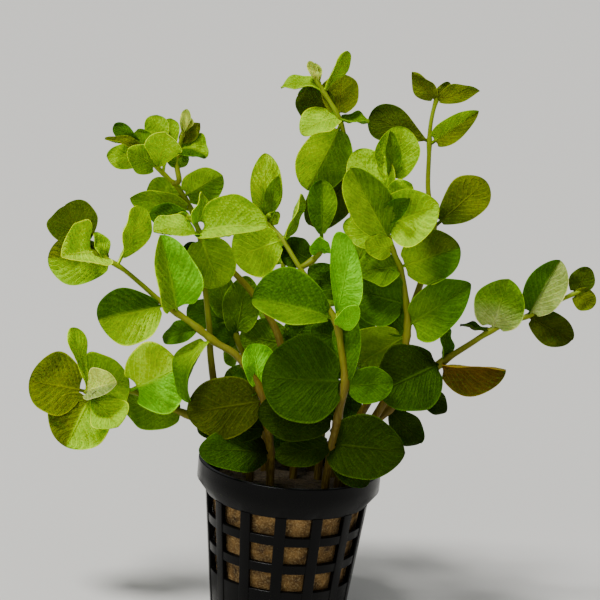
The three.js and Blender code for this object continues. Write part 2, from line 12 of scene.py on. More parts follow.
import bpy
import numpy as np
from mathutils import Matrix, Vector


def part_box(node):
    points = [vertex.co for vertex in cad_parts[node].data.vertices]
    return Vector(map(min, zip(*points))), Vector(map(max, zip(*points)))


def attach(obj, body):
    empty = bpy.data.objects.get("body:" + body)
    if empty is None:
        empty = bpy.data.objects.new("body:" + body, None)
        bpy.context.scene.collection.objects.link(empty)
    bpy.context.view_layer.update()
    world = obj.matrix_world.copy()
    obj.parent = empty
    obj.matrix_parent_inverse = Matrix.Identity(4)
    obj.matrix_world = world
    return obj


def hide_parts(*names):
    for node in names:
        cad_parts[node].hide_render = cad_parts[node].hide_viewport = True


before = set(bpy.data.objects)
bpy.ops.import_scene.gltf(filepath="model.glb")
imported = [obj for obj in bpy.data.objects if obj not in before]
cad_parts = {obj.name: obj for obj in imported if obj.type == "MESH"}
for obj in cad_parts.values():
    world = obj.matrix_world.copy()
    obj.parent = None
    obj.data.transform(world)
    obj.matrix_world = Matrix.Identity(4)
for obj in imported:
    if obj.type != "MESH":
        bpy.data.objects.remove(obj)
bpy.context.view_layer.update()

MM = 0.001
_, pot_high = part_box("net_pot")
POT_HEIGHT = pot_high[2] / MM
print("pot height in mm:", round(POT_HEIGHT, 2))

# %% [markdown]
# ## The view
# The picture is 600 pixels square, taken a little from above, and it leans five degrees. Working in its
# pixels makes each leaf easy to place: a column and a row give a line of sight, and a depth in millimetres
# behind the middle of the pot gives the point on it. The same numbers make the camera, so the two can't
# disagree.

# %% Set up the camera and the line of sight
PICTURE_PIXELS = 600
FOCAL_PIXELS = 2013
VIEW_DISTANCE = 550
VIEW_PITCH = math.radians(12.4)
VIEW_ROLL = math.radians(5)
RIM_PIXEL = (290, 461)
SENSOR_WIDTH = 36

level = np.array([1.0, 0.0, 0.0])
rise = np.array([0.0, math.sin(VIEW_PITCH), math.cos(VIEW_PITCH)])
forward = np.array([0.0, math.cos(VIEW_PITCH), -math.sin(VIEW_PITCH)])
right = level * math.cos(VIEW_ROLL) + rise * math.sin(VIEW_ROLL)
up = rise * math.cos(VIEW_ROLL) - level * math.sin(VIEW_ROLL)

middle_pixel = PICTURE_PIXELS / 2
pixel_size = VIEW_DISTANCE / FOCAL_PIXELS
eye = np.array([0.0, 0.0, POT_HEIGHT]) - forward * VIEW_DISTANCE
eye += right * (middle_pixel - RIM_PIXEL[0]) * pixel_size
eye += up * (RIM_PIXEL[1] - middle_pixel) * pixel_size


def place(column, row, depth):
    """The point, in millimetres, that is seen at a pixel and lies at a depth."""
    across = (column - middle_pixel) / FOCAL_PIXELS
    above = (middle_pixel - row) / FOCAL_PIXELS
    ray = forward + right * across + up * above
    return eye + ray * (depth - eye[1]) / ray[1]


def seen(points):
    """The pixels at which points in millimetres are seen."""
    view = np.atleast_2d(points) - eye
    away = view @ forward
    columns = middle_pixel + FOCAL_PIXELS * (view @ right) / away
    rows = middle_pixel - FOCAL_PIXELS * (view @ up) / away
    return np.stack([columns, rows], axis=1)


def add_object(name, data):
    """A new object in the scene that shows some data."""
    thing = bpy.data.objects.new(name, data)
    bpy.context.collection.objects.link(thing)
    return thing


camera_data = bpy.data.cameras.new("camera")
camera_data.sensor_width = SENSOR_WIDTH
camera_data.lens = FOCAL_PIXELS / PICTURE_PIXELS * SENSOR_WIDTH
camera = add_object("camera", camera_data)
turn = Matrix((right, up, -forward)).transposed().to_4x4()
camera.matrix_world = Matrix.Translation(eye * MM) @ turn
bpy.context.scene.camera = camera
print("camera at", np.round(eye, 1), "mm, lens", round(camera_data.lens, 1), "mm")

# %% [markdown]
# ## Helpers
# Materials and Geometry Nodes are both trees of nodes. One small function adds a node with its settings and
# fills or links its inputs, so a tree reads from top to bottom like a recipe. An input takes a value, a
# socket, or a whole node, which is linked by its first output.

# %% Helpers for nodes and meshes
FLOAT = "NodeSocketFloat"
WHOLE = "NodeSocketInt"
GEOMETRY = "NodeSocketGeometry"


def add_node(tree, kind, sockets=(), **settings):
    """Adds a node, sets its properties, and fills or links its inputs by name or number."""
    node = tree.nodes.new(kind)
    for name, value in settings.items():
        setattr(node, name, value)
    for key, value in dict(sockets).items():
        if isinstance(value, bpy.types.Node):
            value = value.outputs[0]
        if isinstance(value, bpy.types.NodeSocket):
            tree.links.new(value, node.inputs[key])
        else:
            node.inputs[key].default_value = value
    return node


def maths(tree, operation, *values, clamp=False):
    """A Math node: the values are numbers, sockets or nodes."""
    return add_node(tree, "ShaderNodeMath", enumerate(values), operation=operation, use_clamp=clamp)


def between(tree, value, low, high, out_low=0.0, out_high=1.0):
    """A smooth step of a value from one range to another."""
    numbers = {"Value": value, "From Min": low, "From Max": high, "To Min": out_low, "To Max": out_high}
    return add_node(tree, "ShaderNodeMapRange", numbers, interpolation_type="SMOOTHSTEP")


def mixed(tree, share, first, second, blend="MIX"):
    """A colour mix of two colours, by a share from 0 to 1."""
    colours = {0: share, 6: first, 7: second}
    return add_node(tree, "ShaderNodeMix", colours, data_type="RGBA", blend_type=blend).outputs[2]


def noise(tree, spot, lumps_per_mm, detail=2.0):
    """Soft noise from 0 to 1 at a spot."""
    numbers = {"Vector": spot, "Scale": lumps_per_mm / MM, "Detail": detail}
    return add_node(tree, "ShaderNodeTexNoise", numbers)


def bump(tree, height, strength, depth):
    """The slope that a height gives the skin, with the depth in millimetres."""
    return add_node(tree, "ShaderNodeBump", {"Strength": strength, "Distance": depth * MM, "Height": height})


def linear(code):
    """A colour from its usual hex code, turned from sRGB to linear light."""
    parts = [int(code[i : i + 2], 16) / 255 for i in (1, 3, 5)]
    steps = [p / 12.92 if p <= 0.04045 else ((p + 0.055) / 1.055) ** 2.4 for p in parts]
    return (*steps, 1.0)


def ramp(tree, share, stops):
    """Colours that pass into each other. Each stop is a share of the way and the colour there."""
    node = add_node(tree, "ShaderNodeValToRGB", {"Fac": share})
    first, last = node.color_ramp.elements
    first.position, last.position = stops[0][0], stops[-1][0]
    first.color, last.color = linear(stops[0][1]), linear(stops[-1][1])
    for stop, code in stops[1:-1]:
        node.color_ramp.elements.new(stop).color = linear(code)
    return node


def new_material(name):
    """A material with an empty tree."""
    material = bpy.data.materials.new(name)
    material.use_nodes = True
    material.node_tree.nodes.clear()
    return material, material.node_tree


def add_surface(tree, looks):
    """The shader at the end of a material's tree, and the output that it feeds."""
    shader = add_node(tree, "ShaderNodeBsdfPrincipled", looks)
    add_node(tree, "ShaderNodeOutputMaterial", {"Surface": shader})


def new_growth(name, inputs, output):
    """A Geometry Nodes tree with its inputs and its one output, and the sockets of those inputs."""
    tree = bpy.data.node_groups.new(name, "GeometryNodeTree")
    for label, kind, value in inputs:
        socket = tree.interface.new_socket(label, in_out="INPUT", socket_type=kind)
        if value is not None:
            socket.default_value = value
    tree.interface.new_socket(output, in_out="OUTPUT", socket_type=GEOMETRY)
    return tree, add_node(tree, "NodeGroupInput").outputs


def finish_growth(tree, grown, material):
    """The end of a Geometry Nodes tree: real geometry in its material."""
    real = add_node(tree, "GeometryNodeRealizeInstances", {0: grown})
    painted = add_node(tree, "GeometryNodeSetMaterial", {"Geometry": real, "Material": material})
    add_node(tree, "NodeGroupOutput", {0: painted})


def use_growth(thing, tree, values):
    """Puts a tree on an object and sets its named inputs before the object is first evaluated."""
    modifier = thing.modifiers.new(tree.name, "NODES")
    modifier.node_group = tree
    sockets = {item.name: item.identifier for item in tree.interface.items_tree if item.in_out == "INPUT"}
    for name, value in values.items():
        modifier[sockets[name]] = value


def mesh_object(name, points, faces):
    """A smooth mesh object, from points in millimetres and faces."""
    mesh = bpy.data.meshes.new(name)
    mesh.from_pydata((np.array(points) * MM).tolist(), [], faces)
    mesh.polygons.foreach_set("use_smooth", [True] * len(mesh.polygons))
    return add_object(name, mesh)


def finished(thing, name):
    """The object as it looks with its modifiers, as a plain mesh object. The first object is removed."""
    evaluated = thing.evaluated_get(bpy.context.evaluated_depsgraph_get())
    piece = add_object(name, bpy.data.meshes.new_from_object(evaluated))
    bpy.data.objects.remove(thing)
    return piece


print("helpers ready")

# %% [markdown]
# ## Leaf tones
# The light and shade on each leaf are painted into its tone. Lime and sunlit paint leaves in the top light,
# fresh green is for leaves lower down, and deep, shade and night paint leaves in the plant's shade. Olive
# paints the glow of light through a leaf, and the youngest leaves are the palest. The tone is a colour on
# each leaf's own points, so one leaf material serves the whole plant.

# %% Name the tones
# Each tone is the leaf's green with painted light and shade in it: the pale tones paint the top light, deep,
# shade and night paint shade, and olive paints light shining through a leaf.
TONES = {
    "white": "#E2FA60",
    "sunlit": "#C4F000",
    "lime": "#AEDC00",
    "bright": "#94BE00",
    "vivid": "#80D000",
    "fresh": "#689200",
    "green": "#467200",
    "deep": "#305000",
    "shade": "#213400",
    "night": "#142000",
    "olive": "#6E7C00",
    "moss": "#465800",
    "dusk": "#3E4800",
    "silver": "#AABC60",
    "brown": "#6A5000",
}
print(len(TONES), "leaf tones")

# %% [markdown]
# ## The leaf material
# A jenny leaf is thin, waxy and full of water. Its midrib and side veins are paler and sunken, and the skin
# between them is puckered. The rim is a pale line of painted highlight, for the light that the leaf's edge
# catches. The pattern follows the leaf's own UV map: u runs from stalk to tip and v from the left edge to
# the right, so veins stay on a leaf that folds or arches. The measures of veins are shares of the leaf.

# %% Make the leaf material
VEIN_PITCH = 0.13
VEIN_SLOPE = 0.46
VEIN_SWEEP = 0.85
VEIN_STAGGER = VEIN_PITCH * 0.2
VEIN_WANDER = 0.045
VEIN_SHARPNESS = 9.0
VEIN_FADE_FROM = 0.7
VEIN_END = 0.98
FINE_VEINS = 4
MIDRIB_AT_STALK = 0.08
MIDRIB_AT_TIP = 0.02
RIM_FROM = 0.93
RIM_FULL = 0.99
WANDERS_PER_MM = 0.35
PATCHES_PER_MM = 0.25
PEBBLES_PER_MM = 1 / 0.75
PATCH_SHARE = 0.6
HOLLOW_SHADE_SHARE = 0.38
MIDRIB_SHARE = 0.8
SIDE_VEIN_SHARE = 0.25
RIM_HIGHLIGHT_SHARE = 0.85
UNDERSIDE_SHARE = 0.15
VEIN_LIFT = (1.45, 1.35, 1.6, 1.0)
RIM_HIGHLIGHT_LIFT = (2.1, 1.8, 2.6, 1.0)
SKIN_DEPTH = 0.45
SIDE_VEIN_DEPTH = 0.3
RIPPLE_DEPTH = 0.07
PEBBLE_DEPTH = 0.6


def vein_pattern(tree, along, signed, spot):
    """The shares of midrib and side vein at a point, the fine ripple there, and how far out it is."""
    reach = maths(tree, "ABSOLUTE", signed)
    rib_width = between(tree, along, 0.0, 1.0, MIDRIB_AT_STALK, MIDRIB_AT_TIP)
    midrib = maths(tree, "SUBTRACT", 1.0, maths(tree, "DIVIDE", reach, rib_width), clamp=True)
    forwards = maths(tree, "MULTIPLY", maths(tree, "POWER", reach, VEIN_SWEEP), VEIN_SLOPE)
    stagger = maths(tree, "MULTIPLY", maths(tree, "SIGN", signed), VEIN_STAGGER)
    phase = maths(tree, "ADD", maths(tree, "SUBTRACT", along, forwards), stagger)
    bent = maths(tree, "MULTIPLY_ADD", noise(tree, spot, WANDERS_PER_MM), VEIN_WANDER, phase)
    wave = maths(tree, "COSINE", maths(tree, "MULTIPLY", bent, 2 * math.pi / VEIN_PITCH))
    ridge = maths(tree, "POWER", maths(tree, "MULTIPLY_ADD", wave, 0.5, 0.5), VEIN_SHARPNESS)
    side_veins = maths(tree, "MULTIPLY", ridge, between(tree, reach, VEIN_END, VEIN_FADE_FROM))
    ripple = maths(tree, "COSINE", maths(tree, "MULTIPLY", bent, 2 * math.pi * FINE_VEINS / VEIN_PITCH))
    return midrib, side_veins, ripple, reach


def leaf_material():
    """Living leaf: waxy, so it has a soft sheen, and light passes through its wet skin."""
    material, tree = new_material("living leaf")
    tone = add_node(tree, "ShaderNodeAttribute", attribute_name="tone").outputs["Color"]
    top = add_node(tree, "ShaderNodeAttribute", attribute_name="top_side").outputs["Fac"]
    own_map = add_node(tree, "ShaderNodeUVMap", uv_map="blade")
    along, sideways, _ = add_node(tree, "ShaderNodeSeparateXYZ", {0: own_map}).outputs
    signed = maths(tree, "MULTIPLY_ADD", sideways, 2.0, -1.0)
    spot = add_node(tree, "ShaderNodeTexCoord").outputs["Object"]
    midrib, side_veins, ripple, reach = vein_pattern(tree, along, signed, spot)
    pebbles = add_node(tree, "ShaderNodeTexVoronoi", {"Vector": spot, "Scale": PEBBLES_PER_MM / MM})
    pebble = pebbles.outputs["Distance"]
    mottle = noise(tree, spot, PATCHES_PER_MM, 4.0)

    # The skin is darker in patches, and painted shade darkens it between the pebbles, in the hollows of its
    # relief.
    patches = between(tree, mottle, 0.38, 0.66)
    darker = mixed(tree, 1.0, tone, linear("#B4C08A"), "MULTIPLY")
    skin = mixed(tree, maths(tree, "MULTIPLY", patches, PATCH_SHARE), tone, darker)
    hollow_shaded = mixed(tree, between(tree, pebble, 0.25, 0.75, 0.0, HOLLOW_SHADE_SHARE), skin, darker)

    # Veins are a little paler than the skin, also on the darkest leaves. The rim is clearly paler: a painted
    # highlight for the light that the leaf's edge catches.
    lifted = mixed(tree, 1.0, tone, VEIN_LIFT, "MULTIPLY")
    lighter = mixed(tree, 0.01, lifted, linear("#E6EE9C"))
    ribbed = mixed(tree, maths(tree, "MULTIPLY", midrib, MIDRIB_SHARE), hollow_shaded, lighter)
    veined = mixed(tree, maths(tree, "MULTIPLY", side_veins, SIDE_VEIN_SHARE), ribbed, lighter)
    rim_highlight = mixed(tree, 1.0, tone, RIM_HIGHLIGHT_LIFT, "MULTIPLY")
    rim = between(tree, reach, RIM_FROM, RIM_FULL, 0.0, RIM_HIGHLIGHT_SHARE)
    rim_highlit = mixed(tree, rim, veined, rim_highlight)
    underside = mixed(tree, UNDERSIDE_SHARE, rim_highlit, linear("#8FA04A"))

    # The pebbles stand up, and the veins are furrows between them.
    furrows = maths(tree, "MAXIMUM", midrib, maths(tree, "MULTIPLY", side_veins, SIDE_VEIN_DEPTH))
    hollows = maths(tree, "MULTIPLY", pebble, -PEBBLE_DEPTH)
    skin_relief = maths(tree, "MULTIPLY_ADD", ripple, RIPPLE_DEPTH, hollows)
    relief = maths(tree, "SUBTRACT", skin_relief, furrows)
    looks = {
        "Base Color": mixed(tree, top, underside, rim_highlit),
        "Roughness": between(tree, mottle, 0.3, 0.7, 0.46, 0.62),
        "Normal": bump(tree, relief, 1.0, SKIN_DEPTH),
        "Specular IOR Level": 0.07,
        "Specular Tint": linear("#C4DC78"),
        "Subsurface Weight": 0.3,
        "Subsurface Radius": (0.45, 1.0, 0.08),
        "Subsurface Scale": 0.8 * MM,
    }
    add_surface(tree, looks)
    return material


LEAF = leaf_material()
print("leaf material:", len(LEAF.node_tree.nodes), "nodes")

# %% [markdown]
# ## The stem material
# The stem is soft and square-shouldered, yellow-green where it is young and red-brown where it is old. The
# attribute called age runs from 0 at the growing tip to 1 at the foot. Fine stripes run along it.

# %% Make the stem material
STRIPES_PER_MM = 1 / 0.35
STRIPE_STRETCH = (1.0, 1.0, 0.12)
BLOTCHES_PER_MM = 0.2
STEM_COLOURS = ((0.0, "#86A000"), (0.3, "#727E0A"), (0.62, "#60500E"), (1.0, "#3A280C"))


def stem_material():
    """Soft stem: smooth and faintly striped, with a little light in its skin."""
    material, tree = new_material("soft stem")
    age = add_node(tree, "ShaderNodeAttribute", attribute_name="age").outputs["Fac"]
    spot = add_node(tree, "ShaderNodeTexCoord").outputs["Object"]
    blotches = noise(tree, spot, BLOTCHES_PER_MM, 3.0)
    stretch = add_node(tree, "ShaderNodeMapping", {"Vector": spot, "Scale": STRIPE_STRETCH})
    stripes = noise(tree, stretch.outputs[0], STRIPES_PER_MM)
    shifted = maths(tree, "MULTIPLY_ADD", blotches, 0.3, maths(tree, "SUBTRACT", age, 0.15))
    striped = maths(tree, "MULTIPLY", between(tree, stripes, 0.4, 0.65), 0.3)
    looks = {
        "Base Color": mixed(tree, striped, ramp(tree, shifted, STEM_COLOURS), linear("#8A7E2A")),
        "Normal": bump(tree, stripes, 0.3, 0.1),
        "Roughness": 0.5,
        "Specular IOR Level": 0.15,
        "Subsurface Weight": 0.2,
        "Subsurface Radius": (0.6, 0.8, 0.2),
        "Subsurface Scale": 0.8 * MM,
    }
    add_surface(tree, looks)
    return material


STEM = stem_material()
print("stem material:", len(STEM.node_tree.nodes), "nodes")

# %% [markdown]
# ## How a leaf is described
# A leaf is one line: its name, the pixel where its stalk leaves the stem, the pixel of its tip, its tone,
# and what differs from a flat blade. All of it can be judged. In degrees: how far the leaf leans towards the
# viewer, how far its face is turned, how much the midrib is bowed, how sharply the halves fold up from it,
# how much they cup, how far the blade is twisted, and how the rim curls. In millimetres: its width, how far
# the tip is hooked forwards, how far one half runs ahead of the other, how far the lobes at the stalk reach
# back, and how much the rim waves and the skin is puckered. As shares of its length: where it is widest and
# how long its stalk is. A leaf can have another tone on its right half or at its base, which paints light
# and shade on that part.
# Small leaves belong to the stem's own piece.

# %% Describe leaves
FLAT_BLADE = {
    "lean": 0,
    "width": 10,
    "turn": 0,
    "bow": 12,
    "fold": 8,
    "cup": 12,
    "widest": 0.48,
    "stalk": 0.08,
    "point": 0,
    "twist": 0,
    "curl": 12,
    "hook": 0,
    "slant": 0,
    "lobes": 0.8,
    "wave": 0.45,
    "pucker": 0.2,
    # Tones that paint light and shade on a leaf's right half and on its base.
    "right_tone": None,
    "base_tone": None,
}


def leaf(name, base, tip, tone, **shape):
    """A full-grown leaf, which is a piece of its own."""
    return {**FLAT_BLADE, **shape, "name": name, "base": base, "tip": tip, "tone": tone, "own": True}


def small_leaf(name, base, tip, tone, **shape):
    """A small leaf, which is made in one piece with its stem."""
    return {**leaf(name, base, tip, tone, **shape), "own": False}


print("a flat blade has", len(FLAT_BLADE), "measures")

# %% [markdown]
# ## The shoots
# Each shoot has a route, from the growing tip down, and a foot where it enters the rock wool. The knots are
# column, row and depth. The foot is in millimetres across and behind the middle of the pot.

# %% List the shoots
SHOOTS = [
    {
        "name": "lower_left",
        "route": [
            (84, 391, -6), (100, 396, -6), (118, 395, -6), (131, 391, -6), (156, 402, -4), (190, 416, -4),
            (225, 436, -7),
        ],
        "foot": (-11, -7),
        "leaves": [
            leaf("west", (82, 392), (29, 381), "olive", lean=5, width=18.5, turn=10, cup=20, pucker=0.6),
            leaf(
                "south", (90, 397), (66, 447), "lime", right_tone="olive", lean=22, width=17.5, bow=20,
                cup=-10, pucker=0.5,
            ),
            leaf(
                "east", (129, 385), (181, 366), "sunlit", right_tone="vivid", lean=16, width=20.3, bow=40,
                cup=-25, stalk=0.2, lobes=3, pucker=0.55,
            ),
            leaf("under", (188, 411), (123, 403), "fresh", lean=-30, width=12, turn=-10, cup=-5),
            small_leaf(
                "lit", (86, 397), (118, 427), "lime", lean=35, width=12.5, turn=-15, fold=15, widest=0.76,
            ),
            small_leaf(
                "pale", (87, 391), (117, 383), "white", right_tone="silver", lean=42, width=10.5, turn=-28,
                fold=26, pucker=0.5,
            ),
            small_leaf(
                "behind", (89, 391), (129, 379), "bright", lean=-4, width=20, turn=-10, fold=14,
                widest=0.35,
            ),
            small_leaf("paddle", (88, 391), (71, 328), "lime", lean=12, width=6.5, turn=40, widest=0.76),
            small_leaf("below", (132, 392), (98, 402), "moss", lean=-35, width=7),
        ],
    },
    {
        "name": "left",
        "route": [
            (84, 247, -14), (98, 255, -13), (120, 267, -12), (141, 284, -11), (165, 305, -11),
            (190, 322, -12), (215, 342, -13), (238, 357, -14), (262, 393, -15), (268, 425, -13),
        ],
        "foot": (-5, -10),
        "leaves": [
            leaf("back", (86, 249), (65, 206), "moss", lean=-40, width=14.2, cup=18, curl=15),
            leaf(
                "cup", (113, 268), (48, 258), "bright", right_tone="olive", lean=-8, width=14.6, cup=10,
                widest=0.52, curl=70, pucker=0.6,
            ),
            leaf(
                "folded", (94, 252), (62, 256), "sunlit", lean=54, width=18, turn=30, fold=30, widest=0.32,
                pucker=0.3,
            ),
            leaf(
                "edge", (117, 264), (139, 206), "sunlit", lean=-6, width=13, turn=60, bow=20, widest=0.56,
                stalk=0.14, twist=25, pucker=0.3,
            ),
            leaf(
                "hanging", (163, 306), (98, 320), "lime", right_tone="green", lean=12, width=17.5,
                turn=-15, fold=15, widest=0.58, slant=1, pucker=0.6,
            ),
            leaf(
                "tall", (176, 313), (160, 235), "bright", right_tone="vivid", lean=8, width=16, turn=26,
                fold=34, widest=0.36, curl=-30, pucker=0.5,
            ),
            leaf(
                "arched", (212, 340), (190, 402), "green", base_tone="bright", lean=10, width=13.5,
                turn=66, bow=95,
            ),
            leaf("olive", (262, 402), (187, 413), "dusk", lean=12, width=16.5, bow=15, cup=-15),
            leaf("low_arch", (268, 428), (197, 428), "shade", lean=-3, width=11, turn=25, bow=30),
            leaf(
                "rim", (269, 455), (199, 451), "deep", base_tone="night", lean=34, width=12, turn=15,
                bow=40, cup=-15,
            ),
            small_leaf("bud", (88, 249), (74, 231), "white", lean=14, width=3.4),
            small_leaf("right", (106, 259), (95, 232), "lime", lean=2, width=5.2, turn=40),
            small_leaf("low", (198, 329), (163, 339), "green", lean=-25, width=7.5, turn=35),
            small_leaf("inner", (262, 386), (252, 344), "vivid", lean=-12, width=11.5, turn=25, fold=20),
            small_leaf("inner_left", (264, 392), (236, 372), "green", lean=-20, width=9, lobes=0),
        ],
    },
    {
        "name": "upper_left",
        "route": [
            (148, 152, 4), (156, 166, 4), (176, 186, 5), (190, 207, 6), (200, 232, 7), (222, 260, 8),
            (250, 290, 9), (272, 322, 8), (282, 350, 6), (289, 400, 4),
        ],
        "foot": (1, 3),
        "leaves": [
            leaf("front", (157, 165), (128, 150), "bright", lean=40, width=8.6),
            leaf(
                "tip_left", (189, 211), (130, 195), "lime", right_tone="bright", lean=8, width=10,
                turn=-25, fold=18, point=0.25, hook=2, pucker=0.25,
            ),
            leaf(
                "tip_right", (183, 198), (224, 172), "lime", right_tone="fresh", lean=8, width=11.6,
                turn=10, fold=18, point=0.15, hook=3, pucker=0.4,
            ),
            small_leaf("round", (150, 156), (107, 157), "bright", lean=-8, width=7.5),
            small_leaf(
                "spike", (148, 152), (105, 138), "olive", lean=15, width=4.2, turn=50, fold=25, point=0.4,
            ),
            small_leaf("stub", (148, 152), (114, 125), "green", lean=-12, width=4.6, widest=0.7),
            small_leaf("fan", (158, 167), (166, 133), "lime", lean=42, width=10.5, widest=0.72),
            small_leaf("lobe", (150, 154), (137, 130), "fresh", lean=-16, width=6.5),
            small_leaf("top", (158, 164), (157, 115), "bright", lean=-26, width=7, widest=0.7),
            small_leaf("crest", (162, 172), (172, 119), "bright", lean=-34, width=5.5, widest=0.7),
            small_leaf("hidden", (184, 199), (148, 187), "bright", lean=-24, width=8.6),
        ],
    },
    {
        "name": "upper_left_side",
        "joins": "upper_left",
        "route": [(184, 128, 2), (180, 145, 2.5), (177, 165, 3), (179, 180.5, 2.8)],
        "leaves": [
            leaf(
                "arched", (180, 150), (206, 158), "bright", right_tone="green", lean=10, width=11.6,
                turn=-55, bow=85, point=0.3,
            ),
            small_leaf("bud_left", (183, 136), (187, 109), "white", lean=6, width=3.6, fold=30, widest=0.7),
            small_leaf(
                "bud_right", (183, 136), (190, 117), "white", lean=-8, width=2.8, turn=30, widest=0.7,
            ),
            small_leaf("behind", (178, 150), (176, 168), "fresh", lean=0, width=6.5),
            small_leaf("point", (181, 142), (200, 123), "olive", lean=-20, width=4.5, point=0.3),
        ],
    },
    {
        "name": "middle_left",
        "route": [
            (187, 215, -2), (198, 229, -3), (202, 260, -3), (205, 290, -4), (209, 325, -5), (211, 360, -6),
            (218, 400, -6), (236, 436, -5),
        ],
        "foot": (-12, 2),
        "leaves": [
            leaf(
                "left", (200, 236), (154, 232), "bright", right_tone="lime", lean=36, width=11, turn=60,
                bow=48,
            ),
            leaf(
                "right", (200, 233), (268, 226), "bright", right_tone="lime", lean=32, width=17.6,
                turn=-33, bow=25, fold=33, curl=30, pucker=0.5,
            ),
            small_leaf("bud", (191, 221), (177, 214), "lime", width=2.8, cup=30),
            small_leaf(
                "upright", (195, 226), (202, 192), "lime", lean=12, width=6.5, turn=48, widest=0.36,
                point=0.5,
            ),
            small_leaf("small", (191, 220), (150, 213), "green", lean=-15, width=7),
            small_leaf("hanging", (201, 236), (220, 287), "bright", lean=3, width=14.5),
            small_leaf("low", (202, 272), (187, 243), "deep", lean=-10, width=7),
        ],
    },
    {
        "name": "centre",
        "route": [
            (265, 219, -5), (271, 226, -6), (283, 240, -8), (300, 268, -11), (320, 295, -13),
            (336, 322, -15), (341, 347, -16), (345, 382, -17), (339, 412, -16),
        ],
        "foot": (10, -12),
        "leaves": [
            leaf(
                "oval", (265, 219), (265, 153), "sunlit", lean=8, width=10.2, turn=8, fold=18, curl=40,
                pucker=0.5,
            ),
            leaf("left", (283, 241), (233, 257), "lime", lean=10, width=15.5, widest=0.54, pucker=0.25),
            leaf(
                "shelf", (332, 320), (252, 299), "fresh", right_tone="green", lean=6, width=20, turn=31,
                bow=20, fold=31, widest=0.58, curl=-20, pucker=0.3,
            ),
            leaf(
                "bright", (338, 322), (352, 241), "vivid", lean=4, width=11.5, bow=15, cup=20, widest=0.66,
                curl=25, slant=-6, pucker=0.3,
            ),
            leaf(
                "great", (343, 380), (262, 377), "deep", right_tone="deep", lean=6, width=23.5, bow=20,
                cup=-12, lobes=2,
            ),
            leaf("puckered", (344, 384), (352, 312), "green", lean=-8, width=9.5, turn=-30, pucker=0.35),
            leaf("dark", (338, 418), (258, 412), "shade", lean=4, width=14, cup=-12),
            leaf("over_rim", (330, 442), (405, 452), "shade", lean=34, width=17.5, bow=30, cup=4, lobes=4),
            small_leaf("inner", (268, 222), (279, 176), "fresh", lean=18, width=5, turn=-20, fold=20),
            small_leaf("lit", (268, 223), (279, 213), "lime", lean=30, width=4),
            small_leaf("edge", (284, 241), (302, 194), "bright", lean=-5, width=8, turn=74),
            small_leaf("chip", (338, 327), (357, 306), "vivid", lean=38, width=6, turn=20),
            small_leaf("cluster", (338, 330), (357, 274), "lime", lean=-12, width=6, turn=20),
            small_leaf("right", (345, 385), (393, 382), "green", lean=4, width=10.5, turn=15),
            small_leaf("drop", (332, 446), (367, 486), "shade", lean=22, width=9.5),
            small_leaf("rim_left", (331, 446), (275, 457), "shade", lean=14, width=9),
        ],
    },
    {
        "name": "centre_side",
        "joins": "centre",
        "route": [(321, 232, -7), (322, 248, -8), (314, 259, -9), (305.5, 265, -10)],
        "leaves": [
            leaf(
                "upright", (321, 238), (322, 180), "green", right_tone="fresh", lean=-6, width=8.5,
                fold=15, widest=0.6,
            ),
            small_leaf("curl", (322, 255), (321, 237), "vivid", lean=45, width=6.5, cup=35),
            small_leaf("behind", (312, 261), (283, 246), "deep", lean=-28, width=9),
        ],
    },
    {
        "name": "top_centre",
        "route": [
            (314, 76, 0), (319, 85, 0), (327, 97, 0), (338, 116, 0), (345, 138, 1), (350, 165, 2),
            (353, 190, 3), (352, 230, 4), (348, 280, 5), (338, 340, 5), (325, 400, 4),
        ],
        "foot": (8, 4),
        "leaves": [
            leaf("behind_right", (337, 115), (342, 74), "olive", lean=-22, width=10.6),
            leaf("behind_left", (335, 111), (298, 96), "moss", lean=-25, width=11),
            leaf(
                "great", (341, 123), (307, 190), "fresh", right_tone="sunlit", lean=-2, width=15, turn=-10,
                bow=25, pucker=0.4,
            ),
            small_leaf("bud_left", (319, 86), (309, 61), "white", width=3, fold=25, widest=0.7),
            small_leaf(
                "bud_right", (319, 86), (315, 63), "white", lean=-10, width=2.6, turn=25, widest=0.7,
            ),
            small_leaf("left", (323, 91), (281, 88), "bright", lean=4, width=8, turn=65, bow=60, point=0.2),
            small_leaf("right", (322, 92), (348, 51), "bright", lean=5, width=5.4, turn=45, widest=0.68),
            small_leaf("front", (339, 118), (301, 134), "lime", lean=28, width=9.5, turn=38, bow=60),
            small_leaf("edge", (340, 120), (369, 123), "fresh", lean=5, width=9, turn=-74, bow=25),
            small_leaf("lower", (352, 178), (310, 225), "moss", lean=-16, width=12),
        ],
    },
    {
        "name": "top_right",
        "route": [
            (437, 98, 6), (433, 112, 6), (430, 130, 6), (429, 155, 6), (428, 187, 5), (431, 210, 3),
            (434, 224, 3), (427, 262, 5), (413, 305, 7), (396, 345, 7), (372, 395, 6),
        ],
        "foot": (13, 8),
        "leaves": [
            leaf(
                "left", (427, 142), (370, 115), "moss", base_tone="olive", lean=-10, width=10.8,
                widest=0.68,
            ),
            leaf(
                "pointed", (429, 144), (480, 110), "bright", right_tone="olive", lean=10, width=7.3,
                fold=18, widest=0.42, stalk=0.12, point=0.35, hook=2,
            ),
            leaf(
                "oval", (433, 227), (486, 181), "olive", base_tone="moss", lean=-6, width=11.8, widest=0.6,
                stalk=0.13, curl=-30,
            ),
            small_leaf("tip_left", (437, 99), (412, 72), "olive", lean=5, width=6.4, turn=-30, point=0.5),
            small_leaf(
                "tip_right", (437, 99), (480, 91), "olive", lean=10, width=6, turn=-20, fold=20, point=0.5,
            ),
            small_leaf("bud", (437, 100), (450, 83), "olive", lean=-15, width=3.8),
        ],
    },
    {
        "name": "centre_right",
        "route": [
            (392, 177, -6), (389, 198, -7), (386, 225, -7), (393, 250, -7), (401, 270, -6), (406, 300, -6),
            (407, 335, -6), (398, 375, -7), (378, 412, -7),
        ],
        "foot": (14, -5),
        "leaves": [
            leaf(
